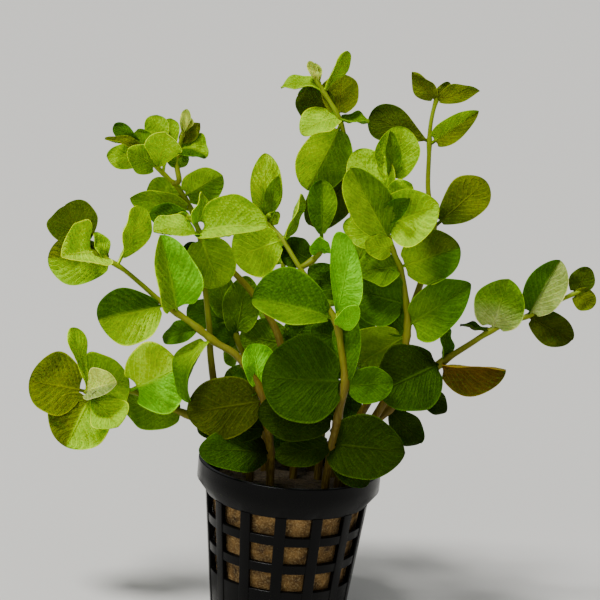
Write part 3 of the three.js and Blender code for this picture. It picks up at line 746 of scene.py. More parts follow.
                "front", (388, 240), (350, 168), "bright", right_tone="fresh", lean=28, width=12, cup=-20,
                pucker=0.5,
            ),
            leaf(
                "curled", (387, 224), (439, 205), "lime", lean=24, width=18, bow=20, fold=20, curl=45,
                pucker=0.5,
            ),
            leaf(
                "dark", (397, 268), (460, 247), "moss", right_tone="green", base_tone="bright", lean=5,
                width=15,
            ),
            leaf(
                "low", (405, 324), (471, 284), "green", base_tone="fresh", lean=8, width=15, turn=12,
                fold=15, widest=0.42, point=0.25, slant=-2,
            ),
            leaf("mass", (406, 336), (357, 364), "bright", lean=-16, width=19, turn=-20),
            small_leaf("back", (391, 182), (403, 127), "bright", lean=-12, width=13, cup=25, curl=30),
            small_leaf("inner", (391, 180), (390, 131), "fresh", lean=14, width=5.5, turn=20, fold=30),
            small_leaf("lobe", (389, 200), (355, 151), "lime", lean=-10, width=12.5),
            small_leaf("lobe_right", (389, 200), (412, 184), "lime", lean=10, width=7.5),
            small_leaf("curl", (387, 217), (409, 198), "green", lean=50, width=6.2, cup=40),
            small_leaf("wavy", (397, 268), (358, 271), "fresh", lean=15, width=11, turn=20, wave=0.8),
            small_leaf("drop", (391, 241), (344, 223), "bright", lean=-16, width=9),
            small_leaf("chip", (389, 250), (365, 243), "lime", lean=22, width=7),
            small_leaf("upper_mass", (404, 306), (355, 290), "green", lean=2, width=16.5),
            small_leaf("inner_low", (407, 334), (385, 305), "green", lean=-20, width=9),
        ],
    },
    {
        "name": "right",
        "route": [
            (582, 290, 2), (550, 305, 1), (528, 316, 0), (496, 328, -2), (470, 344, -3), (441, 363, -4),
            (412, 388, -4), (386, 412, -4), (364, 434, -4),
        ],
        "foot": (15, -1),
        "leaves": [
            leaf(
                "round", (491, 331), (508, 279), "fresh", base_tone="silver", lean=14, width=14.8, curl=30,
                lobes=1.2, pucker=0.4,
            ),
            leaf(
                "far", (528, 316), (560, 260), "green", right_tone="silver", lean=5, width=12.5, turn=10,
                fold=20,
            ),
            leaf("boat", (438, 366), (506, 370), "brown", lean=8, width=15, turn=42, fold=38, point=0.2),
            leaf("broad", (442, 363), (378, 393), "deep", right_tone="shade", lean=34, width=19, cup=-12),
            small_leaf("far_low", (527, 317), (572, 340), "dusk", lean=-8, width=9.5),
            small_leaf("sliver", (490, 332), (460, 325), "shade", lean=-8, width=5, turn=76),
            small_leaf("upright", (446, 360), (443, 326), "green", lean=-5, width=7, turn=62),
            small_leaf("small", (416, 384), (446, 412), "shade", lean=-22, width=6.6),
            small_leaf("shade", (388, 411), (420, 443), "shade", lean=-25, width=8.6),
            small_leaf("end_up", (575, 293), (590, 268), "moss", lean=-5, width=7),
            small_leaf("end_down", (575, 293), (595, 305), "olive", lean=10, width=6.5),
        ],
    },
    {
        "name": "back_left",
        "route": [(214, 262, 14), (222, 290, 14), (232, 325, 13), (250, 370, 11), (262, 415, 9)],
        "foot": (-7, 8),
        "leaves": [
            small_leaf("left", (229, 318), (187, 309), "green", lean=-15, width=9),
            small_leaf("upright", (229, 320), (213, 267), "fresh", lean=10, width=9),
            small_leaf("wide", (236, 335), (247, 276), "fresh", lean=4, width=11),
            small_leaf("rear", (218, 280), (204, 262), "fresh", lean=-65, width=14),
            small_leaf("rear_low", (240, 345), (224, 352), "fresh", lean=-56, width=10),
            small_leaf("low", (256, 392), (226, 372), "fresh", lean=6, width=12),
            small_leaf("mid", (238, 343), (212, 329), "green", lean=4, width=8),
            small_leaf("low_right", (252, 376), (283, 360), "green", lean=8, width=12),
        ],
    },
    {
        "name": "back_right",
        "route": [(352, 268, 17), (346, 300, 17), (338, 340, 15), (330, 385, 12), (318, 425, 10)],
        "foot": (6, 12),
        "leaves": [
            small_leaf("top", (351, 274), (366, 242), "fresh", lean=-50, width=12),
            small_leaf("rear_left", (346, 300), (330, 288), "fresh", lean=-70, width=14),
            small_leaf("rear_right", (345, 302), (368, 300), "fresh", lean=-66, width=14),
            small_leaf("low_left", (336, 350), (318, 362), "green", lean=-70, width=16),
            small_leaf("low_right", (334, 360), (368, 368), "green", lean=-58, width=16),
            small_leaf("middle", (342, 322), (376, 306), "green", lean=10, width=13),
            small_leaf("mid_left", (338, 342), (311, 328), "green", lean=22, width=11),
            small_leaf("peek", (347, 296), (309, 267), "green", lean=12, width=9.5),
            small_leaf("low", (330, 388), (358, 412), "deep", lean=8, width=13),
        ],
    },
    {
        "name": "back_centre",
        "route": [(283, 262, 15), (284, 290, 16), (290, 330, 16), (292, 370, 14), (290, 420, 11)],
        "foot": (-1, 13),
        "leaves": [
            small_leaf("left", (291, 345), (240, 335), "fresh", lean=15, width=12.5),
            small_leaf("right", (291, 345), (311, 318), "green", lean=10, width=10),
            small_leaf("top", (283, 265), (275, 238), "fresh", lean=-55, width=11),
            small_leaf("rear_left", (285, 300), (262, 296), "fresh", lean=-68, width=14),
            small_leaf("rear_right", (286, 304), (304, 296), "fresh", lean=-70, width=14),
            small_leaf("rear_low", (292, 372), (276, 384), "green", lean=-74, width=16),
            small_leaf("low", (292, 385), (322, 398), "deep", lean=6, width=14),
            small_leaf("low_left", (291, 392), (262, 404), "deep", lean=6, width=12),
            small_leaf("foot_left", (291, 418), (283, 462), "deep", lean=14, width=11),
            small_leaf("foot_right", (290, 424), (306, 462), "deep", lean=10, width=10),
        ],
    },
]

leaf_count = sum(len(shoot["leaves"]) for shoot in SHOOTS)
print(len(SHOOTS), "shoots with", leaf_count, "leaves")

# %% [markdown]
# ## Stems
# A stem follows a path, so Geometry Nodes grow it: the tree takes a curve, gives it a width that tapers from
# foot to tip, stores the age along it and sweeps a round section. The curve's own point radius swells it a
# little at each pair of leaves.

# %% Draw a stem's path
STEM_FOOT = 33
KNOT_STEPS = 8
JOINT_SWELL = 0.3
JOINT_LENGTH = 1.5
MAIN_RADIUS = 1.1
SIDE_RADIUS = 0.75
YOUNG_SHARE = 0.3
TIP_SHARE = 0.5
TAPER_END = 0.75
STEM_SIDES = 12


def smooth_path(knots):
    """A Catmull-Rom curve through the knots, in millimetres, as evenly shared points."""
    knots = np.array(knots)
    before = 2 * knots[0] - knots[1]
    after = 2 * knots[-1] - knots[-2]
    row = np.vstack([before, knots, after])
    points = []
    for i in range(1, len(row) - 2):
        for step in range(KNOT_STEPS):
            t = step / KNOT_STEPS
            start, end = row[i], row[i + 1]
            leave, arrive = (end - row[i - 1]) / 2, (row[i + 2] - start) / 2
            points.append(
                (2 * t**3 - 3 * t**2 + 1) * start
                + (t**3 - 2 * t**2 + t) * leave
                + (3 * t**2 - 2 * t**3) * end
                + (t**3 - t**2) * arrive
            )
    return np.array([*points, knots[-1]])


def stem_path(shoot):
    """The way of a stem in millimetres. A side shoot ends inside the stem that it springs from."""
    knots = [place(*knot) for knot in shoot["route"]]
    if "joins" in shoot:
        parent = stem_path(next(other for other in SHOOTS if other["name"] == shoot["joins"]))
        knots.append(parent[np.argmin(np.linalg.norm(parent - knots[-1], axis=1))])
    if "foot" in shoot:
        across, behind = shoot["foot"]
        knots.append(np.array([across, behind, POT_HEIGHT]))
        knots.append(np.array([across, behind, STEM_FOOT]))
    return smooth_path(knots)


def nearest(path, pixel):
    """The number of the path's point that is seen nearest to a pixel."""
    return int(np.argmin(np.linalg.norm(seen(path) - np.array(pixel), axis=1)))


print("path of the first shoot:", len(stem_path(SHOOTS[0])), "points")

# %% Build the tree that grows a stem


def grow_stem_tree():
    """The tree that grows a tapering stem along a path."""
    inputs = (
        ("Path", GEOMETRY, None),
        ("Foot radius", FLOAT, MAIN_RADIUS * MM),
        ("Tip share", FLOAT, TIP_SHARE),
        ("Foot age", FLOAT, 1.0),
    )
    tree, given = new_growth("grow a stem", inputs, "Stem")
    along = add_node(tree, "GeometryNodeSplineParameter").outputs["Factor"]
    swelling = add_node(tree, "GeometryNodeInputRadius")
    thicker = maths(tree, "SUBTRACT", 1.0, given["Tip share"])
    share = maths(tree, "MULTIPLY_ADD", between(tree, along, 0.0, TAPER_END), thicker, given["Tip share"])
    width = maths(tree, "MULTIPLY", maths(tree, "MULTIPLY", share, swelling), given["Foot radius"])
    years = maths(tree, "MULTIPLY", along, given["Foot age"])
    aged = add_node(
        tree,
        "GeometryNodeStoreNamedAttribute",
        {"Geometry": given["Path"], "Name": "age", "Value": years},
        data_type="FLOAT",
        domain="POINT",
    )
    section = add_node(tree, "GeometryNodeCurvePrimitiveCircle", {"Resolution": STEM_SIDES, "Radius": 1.0})
    sweep = {"Curve": aged, "Profile Curve": section, "Scale": width, "Fill Caps": True}
    finish_growth(tree, add_node(tree, "GeometryNodeCurveToMesh", sweep), STEM)
    return tree


GROW_STEM = grow_stem_tree()


def grow_stem(shoot, path):
    """The stem of a shoot, swollen where its leaves join it."""
    curve = bpy.data.curves.new("path", "CURVE")
    curve.dimensions = "3D"
    spline = curve.splines.new("POLY")
    spline.points.add(len(path) - 1)
    joints = path[[nearest(path, shape["base"]) for shape in shoot["leaves"]]]
    for point, place_mm in zip(spline.points, path):
        gap = np.linalg.norm(joints - place_mm, axis=1).min()
        point.co = (*(place_mm * MM), 1.0)
        point.radius = 1 + JOINT_SWELL * math.exp(-((gap / JOINT_LENGTH) ** 2))
    thing = add_object("path", curve)
    if "foot" in shoot:
        use_growth(thing, GROW_STEM, {"Foot radius": MAIN_RADIUS * MM})
    else:
        use_growth(thing, GROW_STEM, {"Foot radius": SIDE_RADIUS * MM, "Foot age": YOUNG_SHARE})
    return finished(thing, "stem")


print("stem tree:", len(GROW_STEM.nodes), "nodes")

# %% [markdown]
# ## Blades
# A leaf is a closed skin over a grid. Rows run from the stalk to the tip and loops run round it, over the
# face and back underneath. The midrib is an arc, the two halves rise from it by the fold and the cup, and a
# little wave at the edge and a pucker between the veins keep it from looking cut from card.

# %% Shape a blade
STALK_RADIUS = 0.45
BLADE_HALF_THICKNESS = 0.16
RIB_DEPTH = 0.2
TIP_HALF_WIDTH = 0.12
STALK_ROWS = 4
BLADE_ROWS = 42
LOOP_STEPS = 26
OUTLINE_WOBBLE = 0.035
WOBBLE_TURNS = 1.5
OUTLINE_POWER = 0.52
POINT_TAPER = 0.5
POINT_SPREAD = 0.3
PROFILE_POINTS = 61
FOLD_SOFTNESS = 0.07
CURL_POWER = 6
WAVE_POWER = 2.5
LEAST_WAVES = 1.2
MOST_WAVES = 2.2
WAVES_IN_ALL = 3.2
RIB_SPREAD = 0.12
EDGE_POWER = 0.4
STALK_BLEND = 0.05
HOOK_FROM = 0.6
TWIST_MIDDLE = 0.4
LEAST_BOW = 0.001


def leaf_frame(shape, path):
    """Where a leaf starts, its length, and its own three directions."""
    joint = nearest(path, shape["base"])
    start = path[joint]
    reach = np.linalg.norm(place(*shape["tip"], start[1]) - start)
    tip = place(*shape["tip"], start[1] - reach * math.tan(math.radians(shape["lean"])))
    along = tip - start
    length = np.linalg.norm(along)
    along = along / length
    face = eye - start
    face = face - along * (face @ along)
    face = face / np.linalg.norm(face)
    side = np.cross(along, face)
    turn_angle = math.radians(shape["turn"])
    face = face * math.cos(turn_angle) + side * math.sin(turn_angle)
    return start, length, along, face, np.cross(along, face)


def smooth_step(value):
    """A smooth rise from 0 to 1, flat at both ends."""
    value = np.clip(value, 0, 1)
    return value * value * (3 - 2 * value)


def outline(shape, t):
    """Half of the blade's width at each share of its length, in millimetres."""
    skew = math.log(0.5) / math.log(shape["widest"])
    rounded = np.sin(np.pi * np.clip(t**skew, 0, 1)) ** OUTLINE_POWER
    pointed = (1 - t) ** (shape["point"] * POINT_TAPER) * (1 + shape["point"] * POINT_SPREAD)
    return shape["width"] / 2 * rounded * pointed


def side_profile(shape, reach):
    """How far out and how high a half of the blade goes, at shares of its width from the midrib."""
    fine = np.linspace(0, 1, PROFILE_POINTS)
    slope = math.radians(shape["fold"]) * np.tanh(fine / FOLD_SOFTNESS)
    slope = slope + math.radians(shape["cup"]) * fine + math.radians(shape["curl"]) * fine**CURL_POWER
    step = 1 / (PROFILE_POINTS - 1)
    out = np.concatenate([[0], np.cumsum((np.cos(slope[1:]) + np.cos(slope[:-1])) / 2)]) * step
    lift = np.concatenate([[0], np.cumsum((np.sin(slope[1:]) + np.sin(slope[:-1])) / 2)]) * step
    return np.interp(reach, fine, out), np.interp(reach, fine, lift)


def blade_relief(shape, t, across, seed):
    """How high the rim's waves, the broad dents and the puckers between veins stand, in millimetres."""
    chance = np.random.default_rng(seed)
    first, second = chance.uniform(0, 2 * np.pi), chance.uniform(0, 2 * np.pi)
    pace = chance.uniform(LEAST_WAVES, MOST_WAVES)
    left = np.sin(2 * np.pi * pace * t + first)
    right = np.sin(2 * np.pi * (WAVES_IN_ALL - pace) * t + second)
    waves = shape["wave"] * np.where(across < 0, left, right) * np.abs(across) ** WAVE_POWER
    phase = t - VEIN_SLOPE * np.abs(across) ** VEIN_SWEEP + np.sign(across) * VEIN_STAGGER
    puffs = -np.cos(2 * np.pi * phase / VEIN_PITCH)
    inner = np.sin(np.pi * np.abs(across)) ** 0.7 * np.sin(np.pi * t) ** 0.5
    dents = shape["wave"] * np.sin(2 * np.pi * pace * t + second + 1.5 * across) * inner
    return waves + dents + shape["pucker"] * puffs * inner


def blade_grid(shape, path, seed):
    """The points of a leaf in millimetres, and each point's share along and across it, and its side."""
    start, length, along, face, side = leaf_frame(shape, path)
    stalk_share = np.linspace(0, shape["stalk"], STALK_ROWS, endpoint=False)
    t = (1 - np.cos(np.pi * np.linspace(0, 1, BLADE_ROWS))) / 2
    share = np.concatenate([stalk_share, shape["stalk"] + t * (1 - shape["stalk"])])[:, None]
    t = np.concatenate([np.zeros(STALK_ROWS), t])[:, None]

    angle = np.pi - np.pi * np.arange(2 * LOOP_STEPS) / LOOP_STEPS
    across, skin = np.cos(angle)[None, :], np.sin(angle)[None, :]
    out, lift = side_profile(shape, np.abs(across))
    wobble = 1 + OUTLINE_WOBBLE * np.sin(2 * np.pi * WOBBLE_TURNS * t + seed + 2 * np.sign(across))
    half = np.maximum(outline(shape, t) * wobble, np.where(t < 0.5, STALK_RADIUS, TIP_HALF_WIDTH))
    flatness = smooth_step(t / STALK_BLEND)
    wide = half * (np.sign(across) * out * flatness + across * (1 - flatness))
    plate = np.sign(skin) * np.abs(skin) ** EDGE_POWER * BLADE_HALF_THICKNESS
    rib = np.exp(-((across / RIB_SPREAD) ** 2)) * (skin < 0) * RIB_DEPTH * (1 - 0.7 * t)
    thick = flatness * (plate - rib) + (1 - flatness) * skin * STALK_RADIUS
    high = flatness * (half * lift + blade_relief(shape, t, across, seed)) + thick

    bow = math.radians(shape["bow"]) or LEAST_BOW
    bend = bow * (share - 0.5)
    bend_radius = length / (2 * math.sin(bow / 2))
    ahead = length / 2 + bend_radius * np.sin(bend)
    ahead = ahead - shape["lobes"] * (1 - t) ** 3 * across**2 * flatness
    ahead = ahead + shape["slant"] * across * half / (shape["width"] / 2)
    arch = bend_radius * (np.cos(bend) - math.cos(bow / 2))
    arch = arch + shape["hook"] * np.clip((share - HOOK_FROM) / (1 - HOOK_FROM), 0, 1) ** 2
    twist = math.radians(shape["twist"]) * (t - TWIST_MIDDLE) * flatness
    wide, high = wide * np.cos(twist) - high * np.sin(twist), high * np.cos(twist) + wide * np.sin(twist)
    grid = np.zeros((len(t), 2 * LOOP_STEPS, 3)) + start
    grid = grid + (ahead + high * np.sin(bend))[:, :, None] * along
    grid = grid + (arch + high * np.cos(bend))[:, :, None] * face
    grid = grid + wide[:, :, None] * side
    return grid, t + 0 * across, across + 0 * t, skin >= 0 * t


def blade_tones(shape, t, across):
    """The tone at each point: one for each half, and another near the base where the leaf has one. The
    second tones paint light and shade on that half and on the base.
    """
    tones = np.zeros((*t.shape, 4)) + linear(TONES[shape["tone"]])
    if shape["right_tone"]:
        share = smooth_step((across + 0.1) / 0.25)[:, :, None]
        tones = tones * (1 - share) + share * np.array(linear(TONES[shape["right_tone"]]))
    if shape["base_tone"]:
        share = smooth_step((0.6 - t) / 0.45)[:, :, None]
        tones = tones * (1 - share) + share * np.array(linear(TONES[shape["base_tone"]]))
    return tones


def blade_faces(rows, loop):
    """Quads between neighbouring rows, and a cap at each end."""
    faces = []
    for row in range(rows - 1):
        for step in range(loop):
            first, second = row * loop + step, row * loop + (step + 1) % loop
            faces.append((first, first + loop, second + loop, second))
    faces.append(tuple(range(loop)))
    faces.append(tuple(reversed(range((rows - 1) * loop, rows * loop))))
    return faces


def make_blade(shape, path, seed):
    """One leaf as a mesh object."""
    grid, t, across, top_side = blade_grid(shape, path, seed)
    rows, loop = t.shape
    thing = mesh_object("blade", grid.reshape(-1, 3), blade_faces(rows, loop))
    mesh = thing.data
    mesh.materials.append(LEAF)
    layer = mesh.uv_layers.new(name="blade")
    corners = np.empty(len(mesh.loops), dtype=np.int32)
    mesh.loops.foreach_get("vertex_index", corners)
    uvs = np.stack([t.ravel(), (across.ravel() + 1) / 2], axis=1)
    layer.data.foreach_set("uv", uvs[corners].ravel())
    sides = mesh.attributes.new("top_side", "FLOAT", "POINT")
    sides.data.foreach_set("value", top_side.ravel().astype(float))
    tones = mesh.attributes.new("tone", "FLOAT_COLOR", "POINT")
    tones.data.foreach_set("color", blade_tones(shape, t, across).ravel())
    return thing


print("a blade has", (STALK_ROWS + BLADE_ROWS) * 2 * LOOP_STEPS, "points")

# %% [markdown]
# ## Grow the plant
# Full-grown leaves become pieces of their own. Each stem is joined with its small leaves, because the frame
# has them as one solid. The seed of a leaf's waves is its number in the list, so every run gives the same
# plant.

# %% Grow every shoot


def joined(things, name):
    """Several objects as one, under a new name."""
    with bpy.context.temp_override(active_object=things[0], selected_editable_objects=things):
        bpy.ops.object.join()
    things[0].name = name
    return things[0]


def settle(piece, node):
    """Hands a finished piece over to the frame."""
    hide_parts(node)
    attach(piece, "root")


seed = 0
for shoot in SHOOTS:
    path = stem_path(shoot)
    parts = [grow_stem(shoot, path)]
    for shape in shoot["leaves"]:
        seed += 1
        blade = make_blade(shape, path, seed)
        if shape["own"]:
            blade.name = f"blade_{shoot['name']}_{shape['name']}"
            settle(blade, f"leaf_{shoot['name']}_{shape['name']}")
        else:
            parts.append(blade)
    stem = joined(parts, f"shoot_{shoot['name']}")
    settle(stem, f"stem_{shoot['name']}")
print("grew", seed, "leaves on", len(SHOOTS), "stems")

# %% [markdown]
# ## The net pot
# The pot is one thin moulding. Its skin is drawn as a grid round the axis, from the middle of the floor up
# to the lip, and the windows and floor slots are grid cells that are left out. Solidify gives it its wall,
# inwards, and a bevel softens the edges as a mould does. The upright ribs repeat, so Geometry Nodes set them
# round the wall.

# %% Name the pot's sizes
RIM_RADIUS = 25
WALL = 1.3
COLLAR_HEIGHT = 5.5
SHOULDER_DROP = 3.6
WALL_TOP_RADIUS = 22.3
WALL_FOOT_RADIUS = 18.3
WALL_TOP = POT_HEIGHT - COLLAR_HEIGHT - SHOULDER_DROP
COLLAR_FOOT = POT_HEIGHT - COLLAR_HEIGHT
RIBS = 14
RIB_PITCH = 360 / RIBS
RIB_WIDTH = 3
RIB_PROUD = 0.15
RIB_ROUNDING = 0.25
RIB_THICKNESS = 0.8
FIRST_RIB_TURN = -2.8
RIB_FOOT = 0.5
WINDOW_ROWS = 3
WINDOW_STEPS = 4
WINDOW_HEIGHT = 5.3
RING_HEIGHT = 2.7
TOP_RING_HEIGHT = 0.3
RIB_STEPS = 2
CELLS_PER_RIB = RIB_STEPS + WINDOW_STEPS
SLOT_CELLS = (3, 4)
EDGE_ROUNDING = 0.28
FLOOR_MIDDLE_RADIUS = 2.5
FLOOR_DISC_RADIUS = 7
SLOT_END_RADIUS = WALL_FOOT_RADIUS - WALL - 2.5


def wall_radius(height):
    """The wall's radius at a height, both in millimetres."""
    return WALL_FOOT_RADIUS + (WALL_TOP_RADIUS - WALL_FOOT_RADIUS) * height / WALL_TOP


print("pot wall rises to", round(WALL_TOP, 1), "mm and the collar starts at", COLLAR_FOOT, "mm")

# %% Model the pot's moulding


def pot_rows():
    """Radius, height and window row of each line round the pot, from the floor's middle to the lip."""
    rows = [(FLOOR_MIDDLE_RADIUS, 0, None), (FLOOR_DISC_RADIUS, 0, "slot")]
    rows += [(SLOT_END_RADIUS, 0, None), (WALL_FOOT_RADIUS, 0, None)]
    for number in reversed(range(WINDOW_ROWS)):
        top = WALL_TOP - TOP_RING_HEIGHT - number * (WINDOW_HEIGHT + RING_HEIGHT)
        foot = top - WINDOW_HEIGHT
        rows.append((wall_radius(foot), foot, "window"))
        rows.append((wall_radius(top), top, None))
    rows.append((WALL_TOP_RADIUS, WALL_TOP, None))
    rows.append((RIM_RADIUS, COLLAR_FOOT, None))
    rows.append((RIM_RADIUS, COLLAR_FOOT + 0.5 * COLLAR_HEIGHT, None))
    rows.append((RIM_RADIUS, POT_HEIGHT, None))
    return rows


def pot_columns():
    """Azimuths round the pot in degrees from the viewer, and whether the next cell is part of a window."""
    rib_share = RIB_WIDTH / (2 * math.pi * WALL_TOP_RADIUS) * RIBS
    columns = []
    for rib in range(RIBS):
        middle = FIRST_RIB_TURN + rib * RIB_PITCH
        for share in (-0.5, 0.0):
            columns.append((middle + share * rib_share * RIB_PITCH, False))
        edge = middle + 0.5 * rib_share * RIB_PITCH
        opening = (1 - rib_share) * RIB_PITCH
        for step in range(WINDOW_STEPS):
            columns.append((edge + opening * step / WINDOW_STEPS, True))
    return columns


def cut_out(row_kind, column, between_ribs):
    """Whether a cell of the grid is left out: for a window, or for a floor slot in every second gap."""
    rib, cell = divmod(column, CELLS_PER_RIB)
    slot = row_kind == "slot" and rib % 2 == 0 and cell in SLOT_CELLS
    return between_ribs and (row_kind == "window" or slot)


def model_pot():
    """The moulding with its windows, its wall and its softened edges."""
    rows, columns = pot_rows(), pot_columns()
    points = []
    for radius, height, _ in rows:
        for azimuth, _ in columns:
            angle = math.radians(azimuth)
            points.append((radius * math.sin(angle), -radius * math.cos(angle), height))
    count = len(columns)
    faces = []
    for row in range(len(rows) - 1):
        for column, (_, between_ribs) in enumerate(columns):
            if not cut_out(rows[row][2], column, between_ribs):
                first, second = row * count + column, row * count + (column + 1) % count
                faces.append((first, second, second + count, first + count))
    points.append((0, 0, 0))
    for column in range(count):
        faces.append((len(points) - 1, (column + 1) % count, column))
    thing = mesh_object("moulding", points, faces)
    wall = thing.modifiers.new("wall", "SOLIDIFY")
    wall.thickness = WALL * MM
    wall.offset = -1
    wall.use_even_offset = True
    soften = thing.modifiers.new("soft edges", "BEVEL")
    soften.width = EDGE_ROUNDING * MM
    soften.segments = 2
    soften.angle_limit = math.radians(40)
    soften.harden_normals = True
    return finished(thing, "net_pot_moulding")


pot = model_pot()
low, high = np.array(pot.bound_box).min(axis=0) / MM, np.array(pot.bound_box).max(axis=0) / MM
print("pot from", np.round(low, 1), "to", np.round(high, 1), "mm")

# %% Build the tree that sets the ribs


def rib_tree():
    """The tree that makes one rib and sets it round the wall."""
    rib_depth = RIB_THICKNESS / 2 - RIB_PROUD
    inputs = (
        ("Rib count", WHOLE, RIBS),
        ("Rib width", FLOAT, RIB_WIDTH * MM),
        ("Rib thickness", FLOAT, RIB_THICKNESS * MM),
        ("Foot radius", FLOAT, (wall_radius(RIB_FOOT) - rib_depth) * MM),
        ("Foot height", FLOAT, RIB_FOOT * MM),
        ("Top radius", FLOAT, (WALL_TOP_RADIUS - rib_depth) * MM),
        ("Top height", FLOAT, WALL_TOP * MM),
        ("First turn", FLOAT, math.radians(FIRST_RIB_TURN)),
    )
    tree, given = new_growth("ribs round the pot", inputs, "Ribs")
    foot_out = maths(tree, "MULTIPLY", given["Foot radius"], -1.0)
    top_out = maths(tree, "MULTIPLY", given["Top radius"], -1.0)
    foot = add_node(tree, "ShaderNodeCombineXYZ", {"Y": foot_out, "Z": given["Foot height"]})
    top = add_node(tree, "ShaderNodeCombineXYZ", {"Y": top_out, "Z": given["Top height"]})
    line = add_node(tree, "GeometryNodeCurvePrimitiveLine", {"Start": foot, "End": top})
    sizes = {"Width": given["Rib width"], "Height": given["Rib thickness"]}
    section = add_node(tree, "GeometryNodeCurvePrimitiveQuadrilateral", sizes, mode="RECTANGLE")
    rounding = maths(tree, "MULTIPLY", given["Rib thickness"], RIB_ROUNDING)
    fillet = {"Curve": section, "Radius": rounding, "Count": 3}
    rounded = add_node(tree, "GeometryNodeFilletCurve", fillet, mode="POLY")
    sweep = {"Curve": line, "Profile Curve": rounded, "Fill Caps": True}
    rib = add_node(tree, "GeometryNodeCurveToMesh", sweep)
    spots = add_node(tree, "GeometryNodePoints", {"Count": given["Rib count"]})
    number = add_node(tree, "GeometryNodeInputIndex")
    pitch = maths(tree, "DIVIDE", 2 * math.pi, given["Rib count"])
    angle = maths(tree, "MULTIPLY_ADD", number, pitch, given["First turn"])
    spin = add_node(tree, "ShaderNodeCombineXYZ", {"Z": angle})
    ring = {"Points": spots, "Instance": rib, "Rotation": spin}
    finish_growth(tree, add_node(tree, "GeometryNodeInstanceOnPoints", ring), POT)
    return tree


# %% [markdown]
# ## The pot's plastic
# The pot is moulded in glossy black polypropylene. A faint orange peel from the mould breaks its highlights.
# A thin film of lime and dust dulls its gloss in patches, and hardly changes the black.

# %% Make the pot's plastic
PEEL_PER_MM = 0.9
FILM_PER_MM = 0.12


def pot_material():
    """Moulded black plastic."""
    material, tree = new_material("moulded black plastic")
    spot = add_node(tree, "ShaderNodeTexCoord").outputs["Object"]
    film = noise(tree, spot, FILM_PER_MM, 5.0)
    dusty = maths(tree, "MULTIPLY", between(tree, film, 0.45, 0.75), 0.15)
    looks = {
        "Base Color": mixed(tree, dusty, linear("#010101"), linear("#100F0D")),
        "Roughness": between(tree, film, 0.35, 0.75, 0.22, 0.45),
        "Specular IOR Level": 0.1,
        "Normal": bump(tree, noise(tree, spot, PEEL_PER_MM), 0.2, 0.06),
    }
    add_surface(tree, looks)
    return material


POT = pot_material()
pot.data.materials.append(POT)
holder = add_object("ribs", bpy.data.meshes.new("ribs"))
use_growth(holder, rib_tree(), {})
ribs = finished(holder, "ribs")
print("ribs:", len(ribs.data.polygons), "faces")
pot = joined([pot, ribs], "net_pot_moulding")
settle(pot, "net_pot")

# %% [markdown]
# ## The rock wool
# Rock wool is spun stone: a tan felt of fine fibres. Its top is darkened by painted shade, the shade that
# falls inside the pot under the leaves. The plug is a turned body with a lumpy skin, and a few thousand
# short fibres lie on it. Geometry Nodes scatter them, since they follow its surface.

# %% Make the wool's material
WOOL_TOP = 38.5
TOP_SHADE_FROM = 35
LUMPS_PER_MM = 0.28
FUZZ_PER_MM = 2.2
WOOL_COLOURS = ((0.3, "#3C2812"), (0.5, "#6E5024"), (0.72, "#9C7840"))


def wool_material():
    """Matt stone wool, darkened near its top by painted shade."""
    material, tree = new_material("tan rock wool")
    spot = add_node(tree, "ShaderNodeTexCoord").outputs["Object"]
    lumps = noise(tree, spot, LUMPS_PER_MM, 6.0)
    fuzz = noise(tree, spot, FUZZ_PER_MM, 4.0)
    light = between(tree, fuzz, 0.45, 0.7, 0.0, 0.35)
    unshaded_wool = mixed(tree, light, ramp(tree, lumps, WOOL_COLOURS), linear("#D2B77C"))
    # Painted shade darkens the top of the plug.
    height = add_node(tree, "ShaderNodeSeparateXYZ", {0: spot}).outputs[2]
    top_shade = between(tree, height, TOP_SHADE_FROM * MM, WOOL_TOP * MM, 0.0, 0.9)
    looks = {
        "Base Color": mixed(tree, top_shade, unshaded_wool, linear("#241C08")),
        "Normal": bump(tree, fuzz, 0.9, 0.5),
        "Roughness": 0.95,
    }
    add_surface(tree, looks)
    return material


WOOL = wool_material()
print("wool material:", len(WOOL.node_tree.nodes), "nodes")

# %% Model the wool plug and scatter its fibres
WOOL_CLEAR = WALL + 0.5
WOOL_FOOT = 1.7
WOOL_COLUMNS = 96
WOOL_ROWS = 34
WOOL_TOP_ROWS = 12
WOOL_TAPER_TOP = 34
WOOL_SHOULDER = 1.2
WOOL_EDGE_DROP = 1
WOOL_HOLLOW = 0.4
WOOL_MIDDLE_RADIUS = 1.5
WOOL_DENT = 0.5
WOOL_SEED = 7
FIBRES = 5200
FIBRE_LENGTH = 2.6
FIBRE_RADIUS = 0.05
FIBRE_BOW = 0.12
FIBRE_TILT = 0.25


